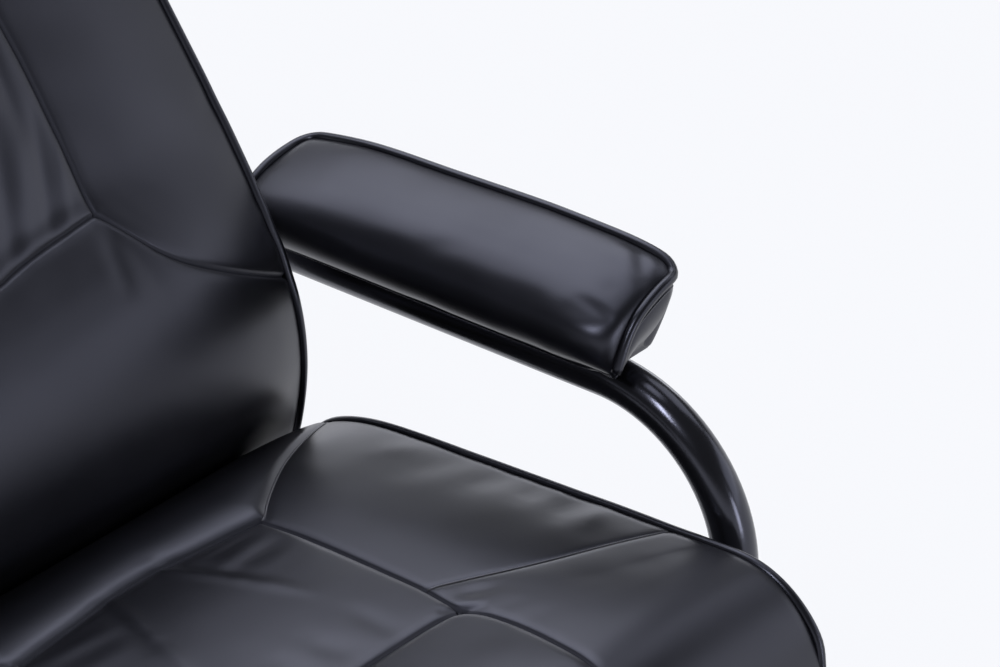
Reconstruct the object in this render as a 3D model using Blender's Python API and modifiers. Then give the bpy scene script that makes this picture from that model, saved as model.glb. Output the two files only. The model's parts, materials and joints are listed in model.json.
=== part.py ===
"""Massage recliner with footstool: swivelling reclining armchair and a free-standing stool."""

import math

import bmesh
import bpy
from mathutils import Matrix, Vector

# All sizes in metres. Front of the chair is -Y, the sitter's left is +X, the floor is z = 0.
# The swivel axis stands at x = 0, y = 0 until the whole layout is centred at the end.

# Fits
GAP = 0.0003
RUN_GAP = 0.0003

# Ring bases
GLIDE_HEIGHT = 0.008
GLIDE_RADIUS = 0.020
BASE_TUBE = 0.032
BASE_RADIUS = 0.290
STOOL_TUBE = 0.028
STOOL_RADIUS = 0.185
SPIDER_BAR = 0.014
SPIDER_WIDTH = 0.038
SPIDER_RISE = 0.050
HUB_RADIUS = 0.033
HUB_FLANGE = 0.055
HUB_FLANGE_THICK = 0.008
HUB_HEIGHT = 0.115
STOOL_POST = 0.022

# Swivel column
COLUMN_RADIUS = 0.0215
BUSH_WALL = 0.004
BUSH_FLANGE = 0.004
COLLAR_HEIGHT = 0.010
PLATE_SIZE = 0.22
PLATE_THICK = 0.006
COLUMN_REACH = 0.0688

# Seat frame
CROSS_HEIGHT = 0.030
CROSS_DEPTH = 0.040
CROSS_Y = 0.100
RAIL_INSET = 0.067
RAIL_WIDTH = 0.030
RAIL_HEIGHT = 0.025
RAIL_FRONT = -0.250
RAIL_REAR = 0.190
SEAT_BOARD_INSET = 0.032
SEAT_BOARD_FRONT = -0.275
SEAT_BOARD_REAR = 0.172
BOARD_THICK = 0.012

# Arms
ARM_TUBE = 0.035
ARM_CLEAR = 0.0255
ARM_TOP = 0.2537
ARM_BEND = 0.1265
ARM_BEND_Y = -0.072
ARM_REAR = 0.268
ARM_FOOT_REAR = 0.160
PAD_WIDTH = 0.090
PAD_HEIGHT = 0.082
PAD_FRONT = -0.108
PAD_REAR = 0.288
PAD_CROWN = 0.010
ARM_BOARD_WIDTH = 0.050
ARM_BOARD_THICK = 0.009
ARM_BOARD_INSET = 0.060

# Seat cushion
SEAT_HALF = 0.302
SEAT_FRONT = -0.318
SEAT_REAR = 0.186
SEAT_EDGE_FRONT = 0.130
SEAT_EDGE_REAR = 0.101
SEAT_ROLL_LENGTH = 0.073
SEAT_CROWN = 0.012
SEAM_X = 0.118
SEAT_REAR_SEAM = 0.080
SEAT_FRONT_SEAM = -0.120
SEAM_DEPTH = 0.010

# Backrest, measured along its front edge from its lower end
BACK_FRONT = 0.1955
BACK_BOTTOM = 0.420
BACK_LENGTH = 0.650
BACK_INSET = 0.016
BACK_TAPER = 0.036
BACK_LEAN_LOW = math.radians(-14)
BACK_LEAN = math.radians(30)
BACK_LEAN_HEAD = math.radians(19)
BACK_BEND_LENGTH = 0.250
BACK_HEAD_START = 0.470
BACK_FOAM = 0.066
BACK_BOARD_THICK = 0.010
BACK_COVER_THICK = 0.012
BACK_CROWN = 0.020
LUMBAR_CROWN = 0.040
LUMBAR_SEAM = 0.262
LUMBAR_SEAM_PEAK = 0.022
LUMBAR_SEAM_EDGE = 0.165
BACK_SIDE_WALL = 0.020
BACK_COVER_CROWN = 0.010
POST_TUBE = 0.025
POST_TOP = 0.580

# Recline hinge and strut
HINGE_Y = 0.290
HINGE_Z = 0.375
HINGE_PIN = 0.010
HINGE_HEAD = 0.016
BRACKET_THICK = 0.005
BRACKET_FRONT = 0.085
BRACKET_ROUND = 0.017
RECLINE_RANGE = math.radians(27)
CRANK_LENGTH = 0.113
CRANK_THICK = 0.006
CRANK_PIN = 0.008
BACK_CROSS_TUBE = 0.022
BACK_CROSS_RISE = 0.035
STRUT_X = 0.150
STRUT_TUBE = 0.022
STRUT_ROD = 0.010
STRUT_FRONT = -0.106
STRUT_REAR = 0.130
EYE_RADIUS = 0.0125
EYE_THICK = 0.010

# Recline lever
LEVER_ROD = 0.010
LEVER_Y = -0.022
LEVER_OUT = 0.0115
LEVER_ARM = 0.120
LEVER_BEND = 0.016
GRIP_LENGTH = 0.070
GRIP_WIDTH = 0.022

# Massage parts
MOTOR_RADIUS = 0.030
MOTOR_HEIGHT = 0.022
MOTOR_WALL = 0.002
CAN_RADIUS = 0.009
CAN_HEIGHT = 0.008
SHAFT_RADIUS = 0.002
WEIGHT_RADIUS = 0.018
WEIGHT_THICK = 0.006
LUMBAR_MOTOR_X = 0.100
LUMBAR_MOTOR_S = 0.120
SEAT_MOTOR_X = 0.115
SEAT_MOTOR_Y = -0.040
CONTROL_CLEAR = 0.020
CONTROL_WIDTH = 0.080
CONTROL_LENGTH = 0.140
CONTROL_HEIGHT = 0.044
INLET_RADIUS = 0.011
INLET_BORE = 0.0045

# Handset and its pocket
POCKET_WALL = 0.003
POCKET_DEPTH = 0.038
POCKET_WIDTH = 0.120
POCKET_HEIGHT = 0.080
POCKET_Y = 0.065
POCKET_CLEAR = 0.007
HANDSET_WIDTH = 0.052
HANDSET_DEPTH = 0.020
HANDSET_HEIGHT = 0.125
HANDSET_Y = 0.040
BUTTON_RADIUS = 0.0055
BUTTON_PROUD = 0.0025
BUTTON_INSIDE = 0.0030
BUTTON_TRAVEL = 0.0012
BUTTON_TOP = 0.012
BUTTON_PITCH = 0.0155

# Footstool
STOOL_Y = -0.740
STOOL_WIDTH = 0.480
STOOL_DEPTH = 0.400
STOOL_SEAT_Z = 0.275
STOOL_EDGE = 0.100
STOOL_CROWN = 0.018
STOOL_BOARD_WIDTH = 0.400
STOOL_BOARD_DEPTH = 0.320
STOOL_SEAM_X = 0.115

# Widths that follow from the seat's half width
ARM_X = SEAT_HALF + ARM_CLEAR + ARM_TUBE / 2
RAIL_X = SEAT_HALF - RAIL_INSET
POST_X = RAIL_X
SEAT_BOARD_WIDTH = 2 * (SEAT_HALF - SEAT_BOARD_INSET)
BACK_HALF_LOW = SEAT_HALF - BACK_INSET
BACK_HALF_TOP = BACK_HALF_LOW - BACK_TAPER
LEVER_X = ARM_X + ARM_TUBE / 2 + LEVER_OUT
CONTROL_X = -(RAIL_X - RAIL_WIDTH / 2 - CONTROL_CLEAR - CONTROL_WIDTH / 2)

# Heights that follow from the sizes above
RING_Z = GLIDE_HEIGHT + BASE_TUBE / 2
HUB_Z = RING_Z + SPIDER_BAR / 2 + SPIDER_RISE + GAP
HUB_TOP = HUB_Z + HUB_HEIGHT
COLLAR_Z = HUB_TOP + GAP + BUSH_FLANGE + GAP
PLATE_Z = COLLAR_Z + COLLAR_HEIGHT + COLUMN_REACH + GAP
CROSS_Z = PLATE_Z + PLATE_THICK + GAP
ARM_FOOT_Z = CROSS_Z + CROSS_HEIGHT / 2
ARM_TUBE_Z = ARM_FOOT_Z + ARM_TOP
RAIL_Z = CROSS_Z + CROSS_HEIGHT + GAP
BOARD_Z = RAIL_Z + RAIL_HEIGHT + GAP
CUSHION_Z = BOARD_Z + BOARD_THICK + GAP
POST_OFFSET = BACK_FOAM + BACK_BOARD_THICK + 2 * GAP + POST_TUBE / 2
COVER_OFFSET = POST_OFFSET + POST_TUBE / 2 + GAP
CRANK_Y = HINGE_Y + CRANK_LENGTH * math.sin(RECLINE_RANGE / 2)
CRANK_Z = HINGE_Z - CRANK_LENGTH * math.cos(RECLINE_RANGE / 2)
CRANK_SAG = CRANK_LENGTH * (1 - math.cos(RECLINE_RANGE / 2)) / 2
STRUT_Z = CRANK_Z - CRANK_SAG
STRUT_TRAVEL = 2 * CRANK_LENGTH * math.sin(RECLINE_RANGE / 2)
LEVER_Z = RAIL_Z + RAIL_HEIGHT / 2
POCKET_X = SEAT_HALF + POCKET_CLEAR
POCKET_Z = ARM_FOOT_Z + ARM_TUBE / 2 + GAP

ARCS = 8
TURN_SIDES = 16
RING_SIDES = 40
BACK_STEPS = 26


# Scene helpers

def clear_scene():
    for old in list(bpy.data.objects):
        bpy.data.objects.remove(old, do_unlink=True)


def make_collection(name):
    collection = bpy.data.collections.new(name)
    bpy.context.scene.collection.children.link(collection)
    return collection


def make_material(name, colour, roughness, metallic):
    material = bpy.data.materials.new(name)
    material.use_nodes = True
    shader = material.node_tree.nodes["Principled BSDF"]
    shader.inputs["Base Color"].default_value = (*colour, 1.0)
    shader.inputs["Roughness"].default_value = roughness
    shader.inputs["Metallic"].default_value = metallic
    return material


def leather(name):
    return make_material(name + "_leather", (0.016, 0.016, 0.018), 0.42, 0.0)


def paint(name):
    return make_material(name + "_paint", (0.012, 0.012, 0.013), 0.18, 0.0)


def steel(name):
    return make_material(name + "_steel", (0.46, 0.46, 0.47), 0.34, 1.0)


def plywood(name):
    return make_material(name + "_wood", (0.42, 0.28, 0.16), 0.6, 0.0)


def plastic(name):
    return make_material(name + "_plastic", (0.03, 0.03, 0.032), 0.45, 0.0)


def body(name, x, y, z, parent=None):
    """An empty on a joint axis; the pieces that move together hang from it."""
    empty = bpy.data.objects.new(name, None)
    empty["at"] = (x, y, z)
    GUIDES.objects.link(empty)
    if parent is not None:
        empty.parent = parent
        base = Vector(parent["at"])
    else:
        base = Vector((0, 0, 0))
    empty.location = Vector((x, y, z)) - base
    return empty


def place(obj, holder):
    obj.parent = holder
    obj.location = obj.location - Vector(holder["at"])
    return obj


def part(obj, holder, material, smooth=True):
    PARTS.objects.link(obj)
    obj.data.materials.clear()
    obj.data.materials.append(material)
    if smooth and obj.type == "MESH":
        obj.data.shade_smooth()
    return place(obj, holder)


def cutter(obj, holder):
    GUIDES.objects.link(obj)
    obj.hide_render = True
    obj.display_type = "WIRE"
    return place(obj, holder)


def combine(obj, tool, operation):
    step = obj.modifiers.new(operation.lower(), "BOOLEAN")
    step.operation = operation
    step.solver = "EXACT"
    step.object = tool


def cut(obj, tool):
    combine(obj, tool, "DIFFERENCE")


def bevel(obj, width, segments=2):
    step = obj.modifiers.new("bevel", "BEVEL")
    step.width = width
    step.segments = segments
    step.limit_method = "ANGLE"
    step.angle_limit = math.radians(40)


# Shapes

def from_bmesh(name, bm):
    mesh = bpy.data.meshes.new(name)
    bm.to_mesh(mesh)
    bm.free()
    return bpy.data.objects.new(name, mesh)


def face_out(bm):
    """Turns every face of a closed body outwards."""
    bmesh.ops.recalc_face_normals(bm, faces=bm.faces)
    if bm.calc_volume(signed=True) < 0:
        bmesh.ops.reverse_faces(bm, faces=bm.faces)


def box(name, low, high):
    """A box between two opposite corners; its origin is its middle."""
    low = Vector(low)
    high = Vector(high)
    size = high - low
    bm = bmesh.new()
    bmesh.ops.create_cube(bm, size=1.0, matrix=Matrix.Diagonal((*size, 1.0)))
    obj = from_bmesh(name, bm)
    obj.location = (low + high) / 2
    return obj


def rod(name, radius, start, end, sides=16):
    """A solid round bar between two points; its origin is its middle."""
    start = Vector(start)
    end = Vector(end)
    along = end - start
    turn = along.to_track_quat("Z", "Y").to_matrix().to_4x4()
    bm = bmesh.new()
    bmesh.ops.create_cone(
        bm, cap_ends=True, segments=sides, radius1=radius, radius2=radius,
        depth=along.length, matrix=turn,
    )
    obj = from_bmesh(name, bm)
    obj.location = (start + end) / 2
    return obj


def turned(name, profile, closed, steps=TURN_SIDES):
    """A profile of (radius, height) points spun about the object's own Z axis."""
    mesh = bpy.data.meshes.new(name)
    points = [(r, 0.0, z) for r, z in profile]
    edges = [(i, i + 1) for i in range(len(points) - 1)]
    if closed:
        edges.append((len(points) - 1, 0))
    mesh.from_pydata(points, edges, [])
    obj = bpy.data.objects.new(name, mesh)
    spin = obj.modifiers.new("turn", "SCREW")
    spin.steps = steps
    spin.render_steps = steps
    spin.use_merge_vertices = True
    spin.merge_threshold = 0.0001
    return obj


def tube(name, points, radius, resolution=4):
    """A round bar along a line of points."""
    curve = bpy.data.curves.new(name, "CURVE")
    curve.dimensions = "3D"
    curve.bevel_depth = radius
    curve.bevel_resolution = resolution
    curve.use_fill_caps = True
    line = curve.splines.new("POLY")
    line.points.add(len(points) - 1)
    for node, place_at in zip(line.points, points):
        node.co = (*place_at, 1.0)
    return bpy.data.objects.new(name, curve)


def to_mesh(obj):
    """The same piece as a joined mesh, so that it can be cut."""
    bpy.context.scene.collection.objects.link(obj)
    bpy.context.view_layer.update()
    shape = obj.evaluated_get(bpy.context.evaluated_depsgraph_get())
    mesh = bpy.data.meshes.new_from_object(shape)
    name = obj.name
    seat = obj.matrix_world.copy()
    bpy.data.objects.remove(obj, do_unlink=True)
    bm = bmesh.new()
    bm.from_mesh(mesh)
    bmesh.ops.remove_doubles(bm, verts=bm.verts, dist=0.00005)
    bm.to_mesh(mesh)
    bm.free()
    solid = bpy.data.objects.new(name, mesh)
    solid.matrix_world = seat
    return solid


def plate(name, outlines, thick):
    """A flat plate from outlines in its own XY plane, centred on that plane."""
    curve = bpy.data.curves.new(name, "CURVE")
    curve.dimensions = "2D"
    curve.fill_mode = "BOTH"
    curve.extrude = thick / 2
    for outline in outlines:
        line = curve.splines.new("POLY")
        line.points.add(len(outline) - 1)
        for node, (u, v) in zip(line.points, outline):
            node.co = (u, v, 0.0, 1.0)
        line.use_cyclic_u = True
    return bpy.data.objects.new(name, curve)


def side_plate(name, outlines, thick, x):
    """A flat plate whose outlines are (y, z) points in the plane at x."""
    obj = plate(name, outlines, thick)
    obj.matrix_world = Matrix((
        (0, 0, 1, x),
        (1, 0, 0, 0),
        (0, 1, 0, 0),
        (0, 0, 0, 1),
    ))
    return obj


def arc(cu, cv, radius, start, end, count):
    """Points (u, v) on a circle from one angle to another, both included."""
    found = []
    for i in range(count + 1):
        a = start + (end - start) * i / count
        found.append((cu + radius * math.cos(a), cv + radius * math.sin(a)))
    return found


def circle(cu, cv, radius, count=16):
    return arc(cu, cv, radius, 0, 2 * math.pi * (count - 1) / count, count - 1)


def soft_form(name, columns, rows, levels, shape, soften=1):
    """A cushion cage: a grid raised through levels, each point set by shape(i, j, k)."""
    bm = bmesh.new()
    bmesh.ops.create_grid(bm, x_segments=columns, y_segments=rows, size=1.0)
    faces = list(bm.faces)
    for level in range(levels):
        raised = bmesh.ops.extrude_face_region(bm, geom=faces)["geom"]
        if level > 0:
            bmesh.ops.delete(bm, geom=faces, context="FACES")
        lifted = [g for g in raised if isinstance(g, bmesh.types.BMVert)]
        faces = [g for g in raised if isinstance(g, bmesh.types.BMFace)]
        bmesh.ops.translate(bm, verts=lifted, vec=(0, 0, 1))
    for vert in bm.verts:
        i = round((vert.co.x + 1) / 2 * columns)
        j = round((vert.co.y + 1) / 2 * rows)
        k = round(vert.co.z)
        vert.co = shape(i, j, k)
    face_out(bm)
    obj = from_bmesh(name, bm)
    if soften:
        step = obj.modifiers.new("soften", "SUBSURF")
        step.levels = soften
        step.render_levels = soften
    return obj


def blend(a, b, t):
    return a + (b - a) * t


def smooth_step(t):
    t = min(max(t, 0.0), 1.0)
    return t * t * (3 - 2 * t)


# Lines of the backrest

def back_lean(s):
    """Lean of the backrest's front edge from upright, at a distance s up the edge."""
    low = blend(BACK_LEAN_LOW, BACK_LEAN, smooth_step(s / BACK_BEND_LENGTH))
    head = (s - BACK_HEAD_START) / (BACK_LENGTH - BACK_HEAD_START)
    return blend(low, BACK_LEAN_HEAD, smooth_step(head))


def back_point(s, behind):
    """(y, z) at a distance s up the front edge and a depth behind it."""
    y = BACK_FRONT
    z = BACK_BOTTOM
    count = 60
    for i in range(count):
        lean = back_lean(s * (i + 0.5) / count)
        y += math.sin(lean) * s / count
        z += math.cos(lean) * s / count
    lean = back_lean(s)
    return y + behind * math.cos(lean), z - behind * math.sin(lean)


def back_half(s):
    """Half the backrest's width at a distance s up the edge."""
    return blend(BACK_HALF_LOW, BACK_HALF_TOP, smooth_step(s / BACK_LENGTH))


def back_chord(s, behind):
    """(y, z) on straight steps along the edge line, so that layers stay parallel."""
    step = BACK_LENGTH / BACK_STEPS
    k = math.floor(s / step)
    t = s / step - k
    low = Vector(back_point(k * step, behind))
    high = Vector(back_point((k + 1) * step, behind))
    return tuple(low.lerp(high, t))


def back_stations(start, end):
    """Distances up the edge line: both ends, and every whole step between them."""
    step = BACK_LENGTH / BACK_STEPS
    first = math.floor(start / step + 1.01)
    last = math.ceil(end / step - 1.01)
    return [start] + [k * step for k in range(first, last + 1)] + [end]


def back_inside(s):
    """Half the width of the hollow behind the foam, at a distance s up the edge."""
    return back_half(s) * 0.985 - BACK_SIDE_WALL


def back_panel(name, start, end, front, rear, inset):
    """A curved panel in the hollow, lofted through a section at every station."""
    bm = bmesh.new()
    sections = []
    for s in back_stations(start, end):
        half = back_inside(s) - inset
        section = []
        for behind, x in ((front, -half), (front, half), (rear, half), (rear, -half)):
            section.append(bm.verts.new((x, *back_chord(s, behind))))
        sections.append(section)
    for low, high in zip(sections, sections[1:]):
        for i in range(4):
            k = (i + 1) % 4
            bm.faces.new((low[i], low[k], high[k], high[i]))
    bm.faces.new(sections[0])
    bm.faces.new(sections[-1])
    face_out(bm)
    return from_bmesh(name, bm)


# Ring bases

def make_ring(name, cx, cy, radius, thick, holder):
    bpy.ops.mesh.primitive_torus_add(
        major_radius=radius, minor_radius=thick / 2, major_segments=RING_SIDES,
        minor_segments=8, location=(cx, cy, GLIDE_HEIGHT + thick / 2),
    )
    ring = bpy.context.object
    for group in list(ring.users_collection):
        group.objects.unlink(ring)
    ring.name = name
    return part(ring, holder, paint(name))


def spider_bar(name, cy, reach, ring_z, turn):
    """One arched flat bar through the middle, lying across the ring."""
    count = 12
    top = []
    low = []
    for i in range(count + 1):
        u = -reach + 2 * reach * i / count
        rise = SPIDER_RISE * smooth_step((reach - abs(u)) / (reach - HUB_FLANGE))
        top.append((u, ring_z + SPIDER_BAR / 2 + rise))
        low.append((u, ring_z - SPIDER_BAR / 2 + rise))
    bar = plate(name, [low + list(reversed(top))], SPIDER_WIDTH)
    upright = Matrix.Rotation(math.pi / 2, 4, "X")
    spin = Matrix.Rotation(turn, 4, "Z")
    bar.matrix_world = Matrix.Translation((0, cy, 0)) @ spin @ upright
    return to_mesh(bar)


def make_spider(name, cy, radius, thick, holder):
    ring_z = GLIDE_HEIGHT + thick / 2
    inner = (radius - thick / 2) * math.cos(math.pi / RING_SIDES)
    reach = math.sqrt(inner ** 2 - (SPIDER_WIDTH / 2) ** 2) - GAP
    first = spider_bar(name, cy, reach, ring_z, math.radians(45))
    second = spider_bar(name + "_crossing", cy, reach, ring_z, math.radians(-45))
    combine(first, cutter(second, holder), "UNION")
    return part(first, holder, paint(name), smooth=False)


def make_glides(prefix, cy, radius, thick, holder):
    ring_z = GLIDE_HEIGHT + thick / 2
    bpy.ops.mesh.primitive_torus_add(
        major_radius=radius, minor_radius=thick / 2 + GAP, major_segments=RING_SIDES,
        minor_segments=8, location=(0, cy, ring_z),
    )
    groove = bpy.context.object
    for group in list(groove.users_collection):
        group.objects.unlink(groove)
    groove.name = prefix + "_groove"
    cutter(groove, holder)
    for i in range(4):
        angle = math.radians(45 + 90 * i)
        x = radius * math.cos(angle)
        y = cy + radius * math.sin(angle)
        name = f"{prefix}_glide_{i + 1}"
        foot = rod(name, GLIDE_RADIUS, (x, y, 0), (x, y, GLIDE_HEIGHT + thick * 0.22), 12)
        cut(foot, groove)
        part(foot, holder, plastic(name), smooth=False)


# Swivel

def bush_bore():
    """Radius to the corners of the bush, whose flats clear the column's corners."""
    return COLUMN_RADIUS / math.cos(math.pi / TURN_SIDES) + RUN_GAP


def make_hub(holder):
    bore = bush_bore() + BUSH_WALL + GAP
    floor = HUB_FLANGE_THICK
    hub = turned("base_hub", [
        (0, floor),
        (bore, floor),
        (bore, HUB_HEIGHT),
        (HUB_RADIUS, HUB_HEIGHT),
        (HUB_RADIUS, HUB_FLANGE_THICK * 1.6),
        (HUB_RADIUS + 0.004, HUB_FLANGE_THICK),
        (HUB_FLANGE, HUB_FLANGE_THICK),
        (HUB_FLANGE, 0),
        (0, 0),
    ], False)
    hub.location = (0, 0, HUB_Z)
    part(hub, holder, paint("base_hub"), smooth=False)


def make_bush(holder):
    inner = bush_bore()
    outer = inner + BUSH_WALL
    bush = turned("swivel_bush", [
        (outer, HUB_TOP + GAP + BUSH_FLANGE),
        (HUB_RADIUS, HUB_TOP + GAP + BUSH_FLANGE),
        (HUB_RADIUS, HUB_TOP + GAP),
        (outer, HUB_TOP + GAP),
        (outer, HUB_Z + HUB_HEIGHT * 0.25),
        (inner, HUB_Z + HUB_HEIGHT * 0.25),
        (inner, HUB_TOP + GAP + BUSH_FLANGE),
    ], True)
    part(bush, holder, make_material("swivel_bush_nylon", (0.7, 0.69, 0.66), 0.5, 0.0), smooth=False)


def make_column(holder):
    low = HUB_Z + HUB_FLANGE_THICK + 0.004
    column = turned("swivel_column", [
        (0, PLATE_Z - GAP),
        (COLUMN_RADIUS, PLATE_Z - GAP),
        (COLUMN_RADIUS, COLLAR_Z + COLLAR_HEIGHT),
        (HUB_RADIUS, COLLAR_Z + COLLAR_HEIGHT),
        (HUB_RADIUS, COLLAR_Z),
        (COLUMN_RADIUS, COLLAR_Z),
        (COLUMN_RADIUS, low),
        (0, low),
    ], False)
    part(column, holder, steel("swivel_column"), smooth=False)


def make_plate(holder):
    half = PLATE_SIZE / 2
    top = box("swivel_plate", (-half, -half, PLATE_Z), (half, half, PLATE_Z + PLATE_THICK))
    bevel(top, 0.0015)
    part(top, holder, paint("swivel_plate"), smooth=False)


# Seat frame

def make_crosses(holder):
    reach = ARM_X - ARM_TUBE / 2 - GAP
    for name, y in (("seat_cross_front", -CROSS_Y), ("seat_cross_rear", CROSS_Y)):
        bar = box(
            name, (-reach, y - CROSS_DEPTH / 2, CROSS_Z),
            (reach, y + CROSS_DEPTH / 2, CROSS_Z + CROSS_HEIGHT),
        )
        bevel(bar, 0.003)
        part(bar, holder, paint(name), smooth=False)


def make_rails(holder):
    for name, side in (("seat_rail_left", 1), ("seat_rail_right", -1)):
        x = side * RAIL_X
        bar = box(
            name, (x - RAIL_WIDTH / 2, RAIL_FRONT, RAIL_Z),
            (x + RAIL_WIDTH / 2, RAIL_REAR, RAIL_Z + RAIL_HEIGHT),
        )
        bevel(bar, 0.002)
        if side < 0:
            hole = rod(
                name + "_hole", LEVER_ROD / 2 + RUN_GAP, (x - RAIL_WIDTH, LEVER_Y, LEVER_Z),
                (x + RAIL_WIDTH, LEVER_Y, LEVER_Z),
            )
            cut(bar, cutter(hole, holder))
        part(bar, holder, paint(name), smooth=False)


def make_seat_board(holder):
    half = SEAT_BOARD_WIDTH / 2
    board = box(
        "seat_board", (-half, SEAT_BOARD_FRONT, BOARD_Z),
        (half, SEAT_BOARD_REAR, BOARD_Z + BOARD_THICK),
    )
    part(board, holder, plywood("seat_board"), smooth=False)


# Seat cushion

def seat_lines():
    """Distances across the seat, and rows from front to rear, of the cushion's cage."""
    outer = SEAT_HALF - SEAM_X
    half = [0, SEAM_X, SEAM_X + outer * 0.42, SEAM_X + outer * 0.86, SEAT_HALF]
    across = [-x for x in reversed(half[1:])] + half
    roll = [SEAT_FRONT + SEAT_ROLL_LENGTH * t for t in (0, 0.18, 0.52, 1.0)]
    return across, roll


def seat_edge(y):
    """Height of the seat's top edge above the board."""
    t = (y - SEAT_FRONT) / (SEAT_REAR - SEAT_FRONT)
    height = blend(SEAT_EDGE_FRONT, SEAT_EDGE_REAR, t ** 1.15)
    ahead = (SEAT_FRONT + SEAT_ROLL_LENGTH - y) / SEAT_ROLL_LENGTH
    if ahead > 0:
        height *= 0.13 + 0.87 * math.sqrt(max(0.0, 1 - ahead * ahead))
    behind = (y - SEAT_REAR + 0.05) / 0.05
    if behind > 0:
        height -= 0.022 * behind * behind
    return height


def seat_shape(i, j, k):
    across, roll = seat_lines()
    x = across[i]
    outward = max(0.0, (abs(x) - SEAM_X) / (SEAT_HALF - SEAM_X))
    front_seam = SEAT_FRONT_SEAM - 0.045 * outward
    rear_seam = SEAT_REAR_SEAM + (SEAT_REAR - SEAT_REAR_SEAM - 0.018) * outward
    middle = [blend(front_seam, rear_seam, t) for t in (0.25, 0.75)]
    rows = roll + [blend(roll[-1], front_seam, 0.55), front_seam] + middle
    rows += [rear_seam, blend(rear_seam, SEAT_REAR, 0.5), SEAT_REAR]
    y = rows[j]
    top = seat_edge(y)
    bulge = (1 - (x / SEAT_HALF) ** 4)
    crown = SEAT_CROWN * bulge
    seam = abs(abs(x) - SEAM_X) < 0.001 or j in (5, 8)
    if seam and 0 < i < len(across) - 1 and j > 2:
        crown -= SEAM_DEPTH
    top += crown * min(1.0, (y - SEAT_FRONT) / 0.06)
    fraction = (0.0, 0.26, 0.80, 1.0)[k]
    draw = (0.965, 0.998, 1.004, 0.998)[k]
    depth = (0.975, 1.0, 1.0, 0.998)[k]
    middle_y = (SEAT_FRONT + SEAT_REAR) / 2
    y = middle_y + (y - middle_y) * depth
    if k == 0:
        return Vector((x * draw, y, CUSHION_Z))
    return Vector((x * draw, y, CUSHION_Z + top * fraction))


def make_seat_cushion(holder, pockets):
    cushion = soft_form("seat_cushion", 8, 10, 3, seat_shape)
    for pocket in pockets:
        cut(cushion, pocket)
    part(cushion, holder, leather("seat_cushion"))


# Arms

def arm_line(side):
    """Centre line of an arm tube, from its upper rear end round the front to its lower end."""
    x = side * ARM_X
    points = [(x, ARM_REAR, ARM_TUBE_Z)]
    bend_z = ARM_TUBE_Z - ARM_BEND
    for y, z in arc(ARM_BEND_Y, bend_z, ARM_BEND, math.pi / 2, math.pi, ARCS):
        points.append((x, y, z))
    foot_z = ARM_FOOT_Z + ARM_BEND
    for y, z in arc(ARM_BEND_Y, foot_z, ARM_BEND, math.pi, 1.5 * math.pi, ARCS):
        points.append((x, y, z))
    points.append((x, ARM_FOOT_REAR, ARM_FOOT_Z))
    return points


def make_arm_tube(side, label, holder):
    name = "arm_tube_" + label
    part(tube(name, arm_line(side), ARM_TUBE / 2), holder, paint(name))


def make_arm_board(side, label, holder):
    name = "arm_board_" + label
    x = side * ARM_X
    low = ARM_TUBE_Z + ARM_TUBE / 2 + GAP
    front = PAD_FRONT + ARM_BOARD_INSET
    rear = PAD_REAR - ARM_BOARD_INSET
    half = ARM_BOARD_WIDTH / 2
    board = box(name, (x - half, front, low), (x + half, rear, low + ARM_BOARD_THICK))
    part(board, holder, plywood(name), smooth=False)
    room = box(
        name + "_room", (x - half - GAP, front - GAP, low - 0.01),
        (x + half + GAP, rear + GAP, low + ARM_BOARD_THICK + GAP),
    )
    return cutter(room, holder)


def pad_shape(side):
    """Cage of an arm pad: a roll on its inner side, a crisp piped edge on its outer side."""
    across = (-0.490, -0.497, -0.40, -0.10, 0.30, 0.478)
    height = (0.17, 0.52, 0.83, 0.98, 1.0, 0.955)
    along = (0.0, 0.035, 0.11, 0.37, 0.63, 0.89, 0.965, 1.0)
    drop = (0.80, 0.955, 0.99, 1.0, 1.0, 0.99, 0.955, 0.80)

    def shape(i, j, k):
        low = ARM_TUBE_Z + ARM_TUBE / 2 + GAP
        y = blend(PAD_FRONT, PAD_REAR, along[j])
        top = (PAD_HEIGHT * height[i] + PAD_CROWN * (1 - (i - 3) ** 2 / 9)) * drop[j]
        fraction = (0.0, 0.6, 1.0)[k]
        draw = (0.86, 0.99, 1.0)[k]
        middle = (PAD_FRONT + PAD_REAR) / 2
        y = middle + (y - middle) * (0.985, 0.998, 1.0)[k]
        x = side * (ARM_X + PAD_WIDTH * across[i] * draw)
        return Vector((x, y, low + top * fraction))

    return shape


def make_arm_pad(side, label, room, holder):
    name = "arm_pad_" + label
    pad = soft_form(name, 5, 7, 2, pad_shape(side))
    cut(pad, room)
    part(pad, holder, leather(name))


# Recline hinge

def make_brackets(holder):
    low = RAIL_Z + 0.002
    high = RAIL_Z + RAIL_HEIGHT - GAP
    heading = math.atan2(HINGE_Z - (low + high) / 2, HINGE_Y - RAIL_REAR)
    round_end = arc(
        HINGE_Y, HINGE_Z, BRACKET_ROUND, heading - math.pi / 2, heading + math.pi / 2, ARCS
    )
    outline = [(BRACKET_FRONT, low), (RAIL_REAR + 0.012, low)] + round_end
    outline += [(RAIL_REAR - 0.002, high), (BRACKET_FRONT, high)]
    hole = circle(HINGE_Y, HINGE_Z, HINGE_PIN / 2 + RUN_GAP)
    for label, side in (("left", 1), ("right", -1)):
        name = "hinge_bracket_" + label
        x = side * (RAIL_X + RAIL_WIDTH / 2 + GAP + BRACKET_THICK / 2)
        part(side_plate(name, [outline, hole], BRACKET_THICK, x), holder, paint(name))


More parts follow.
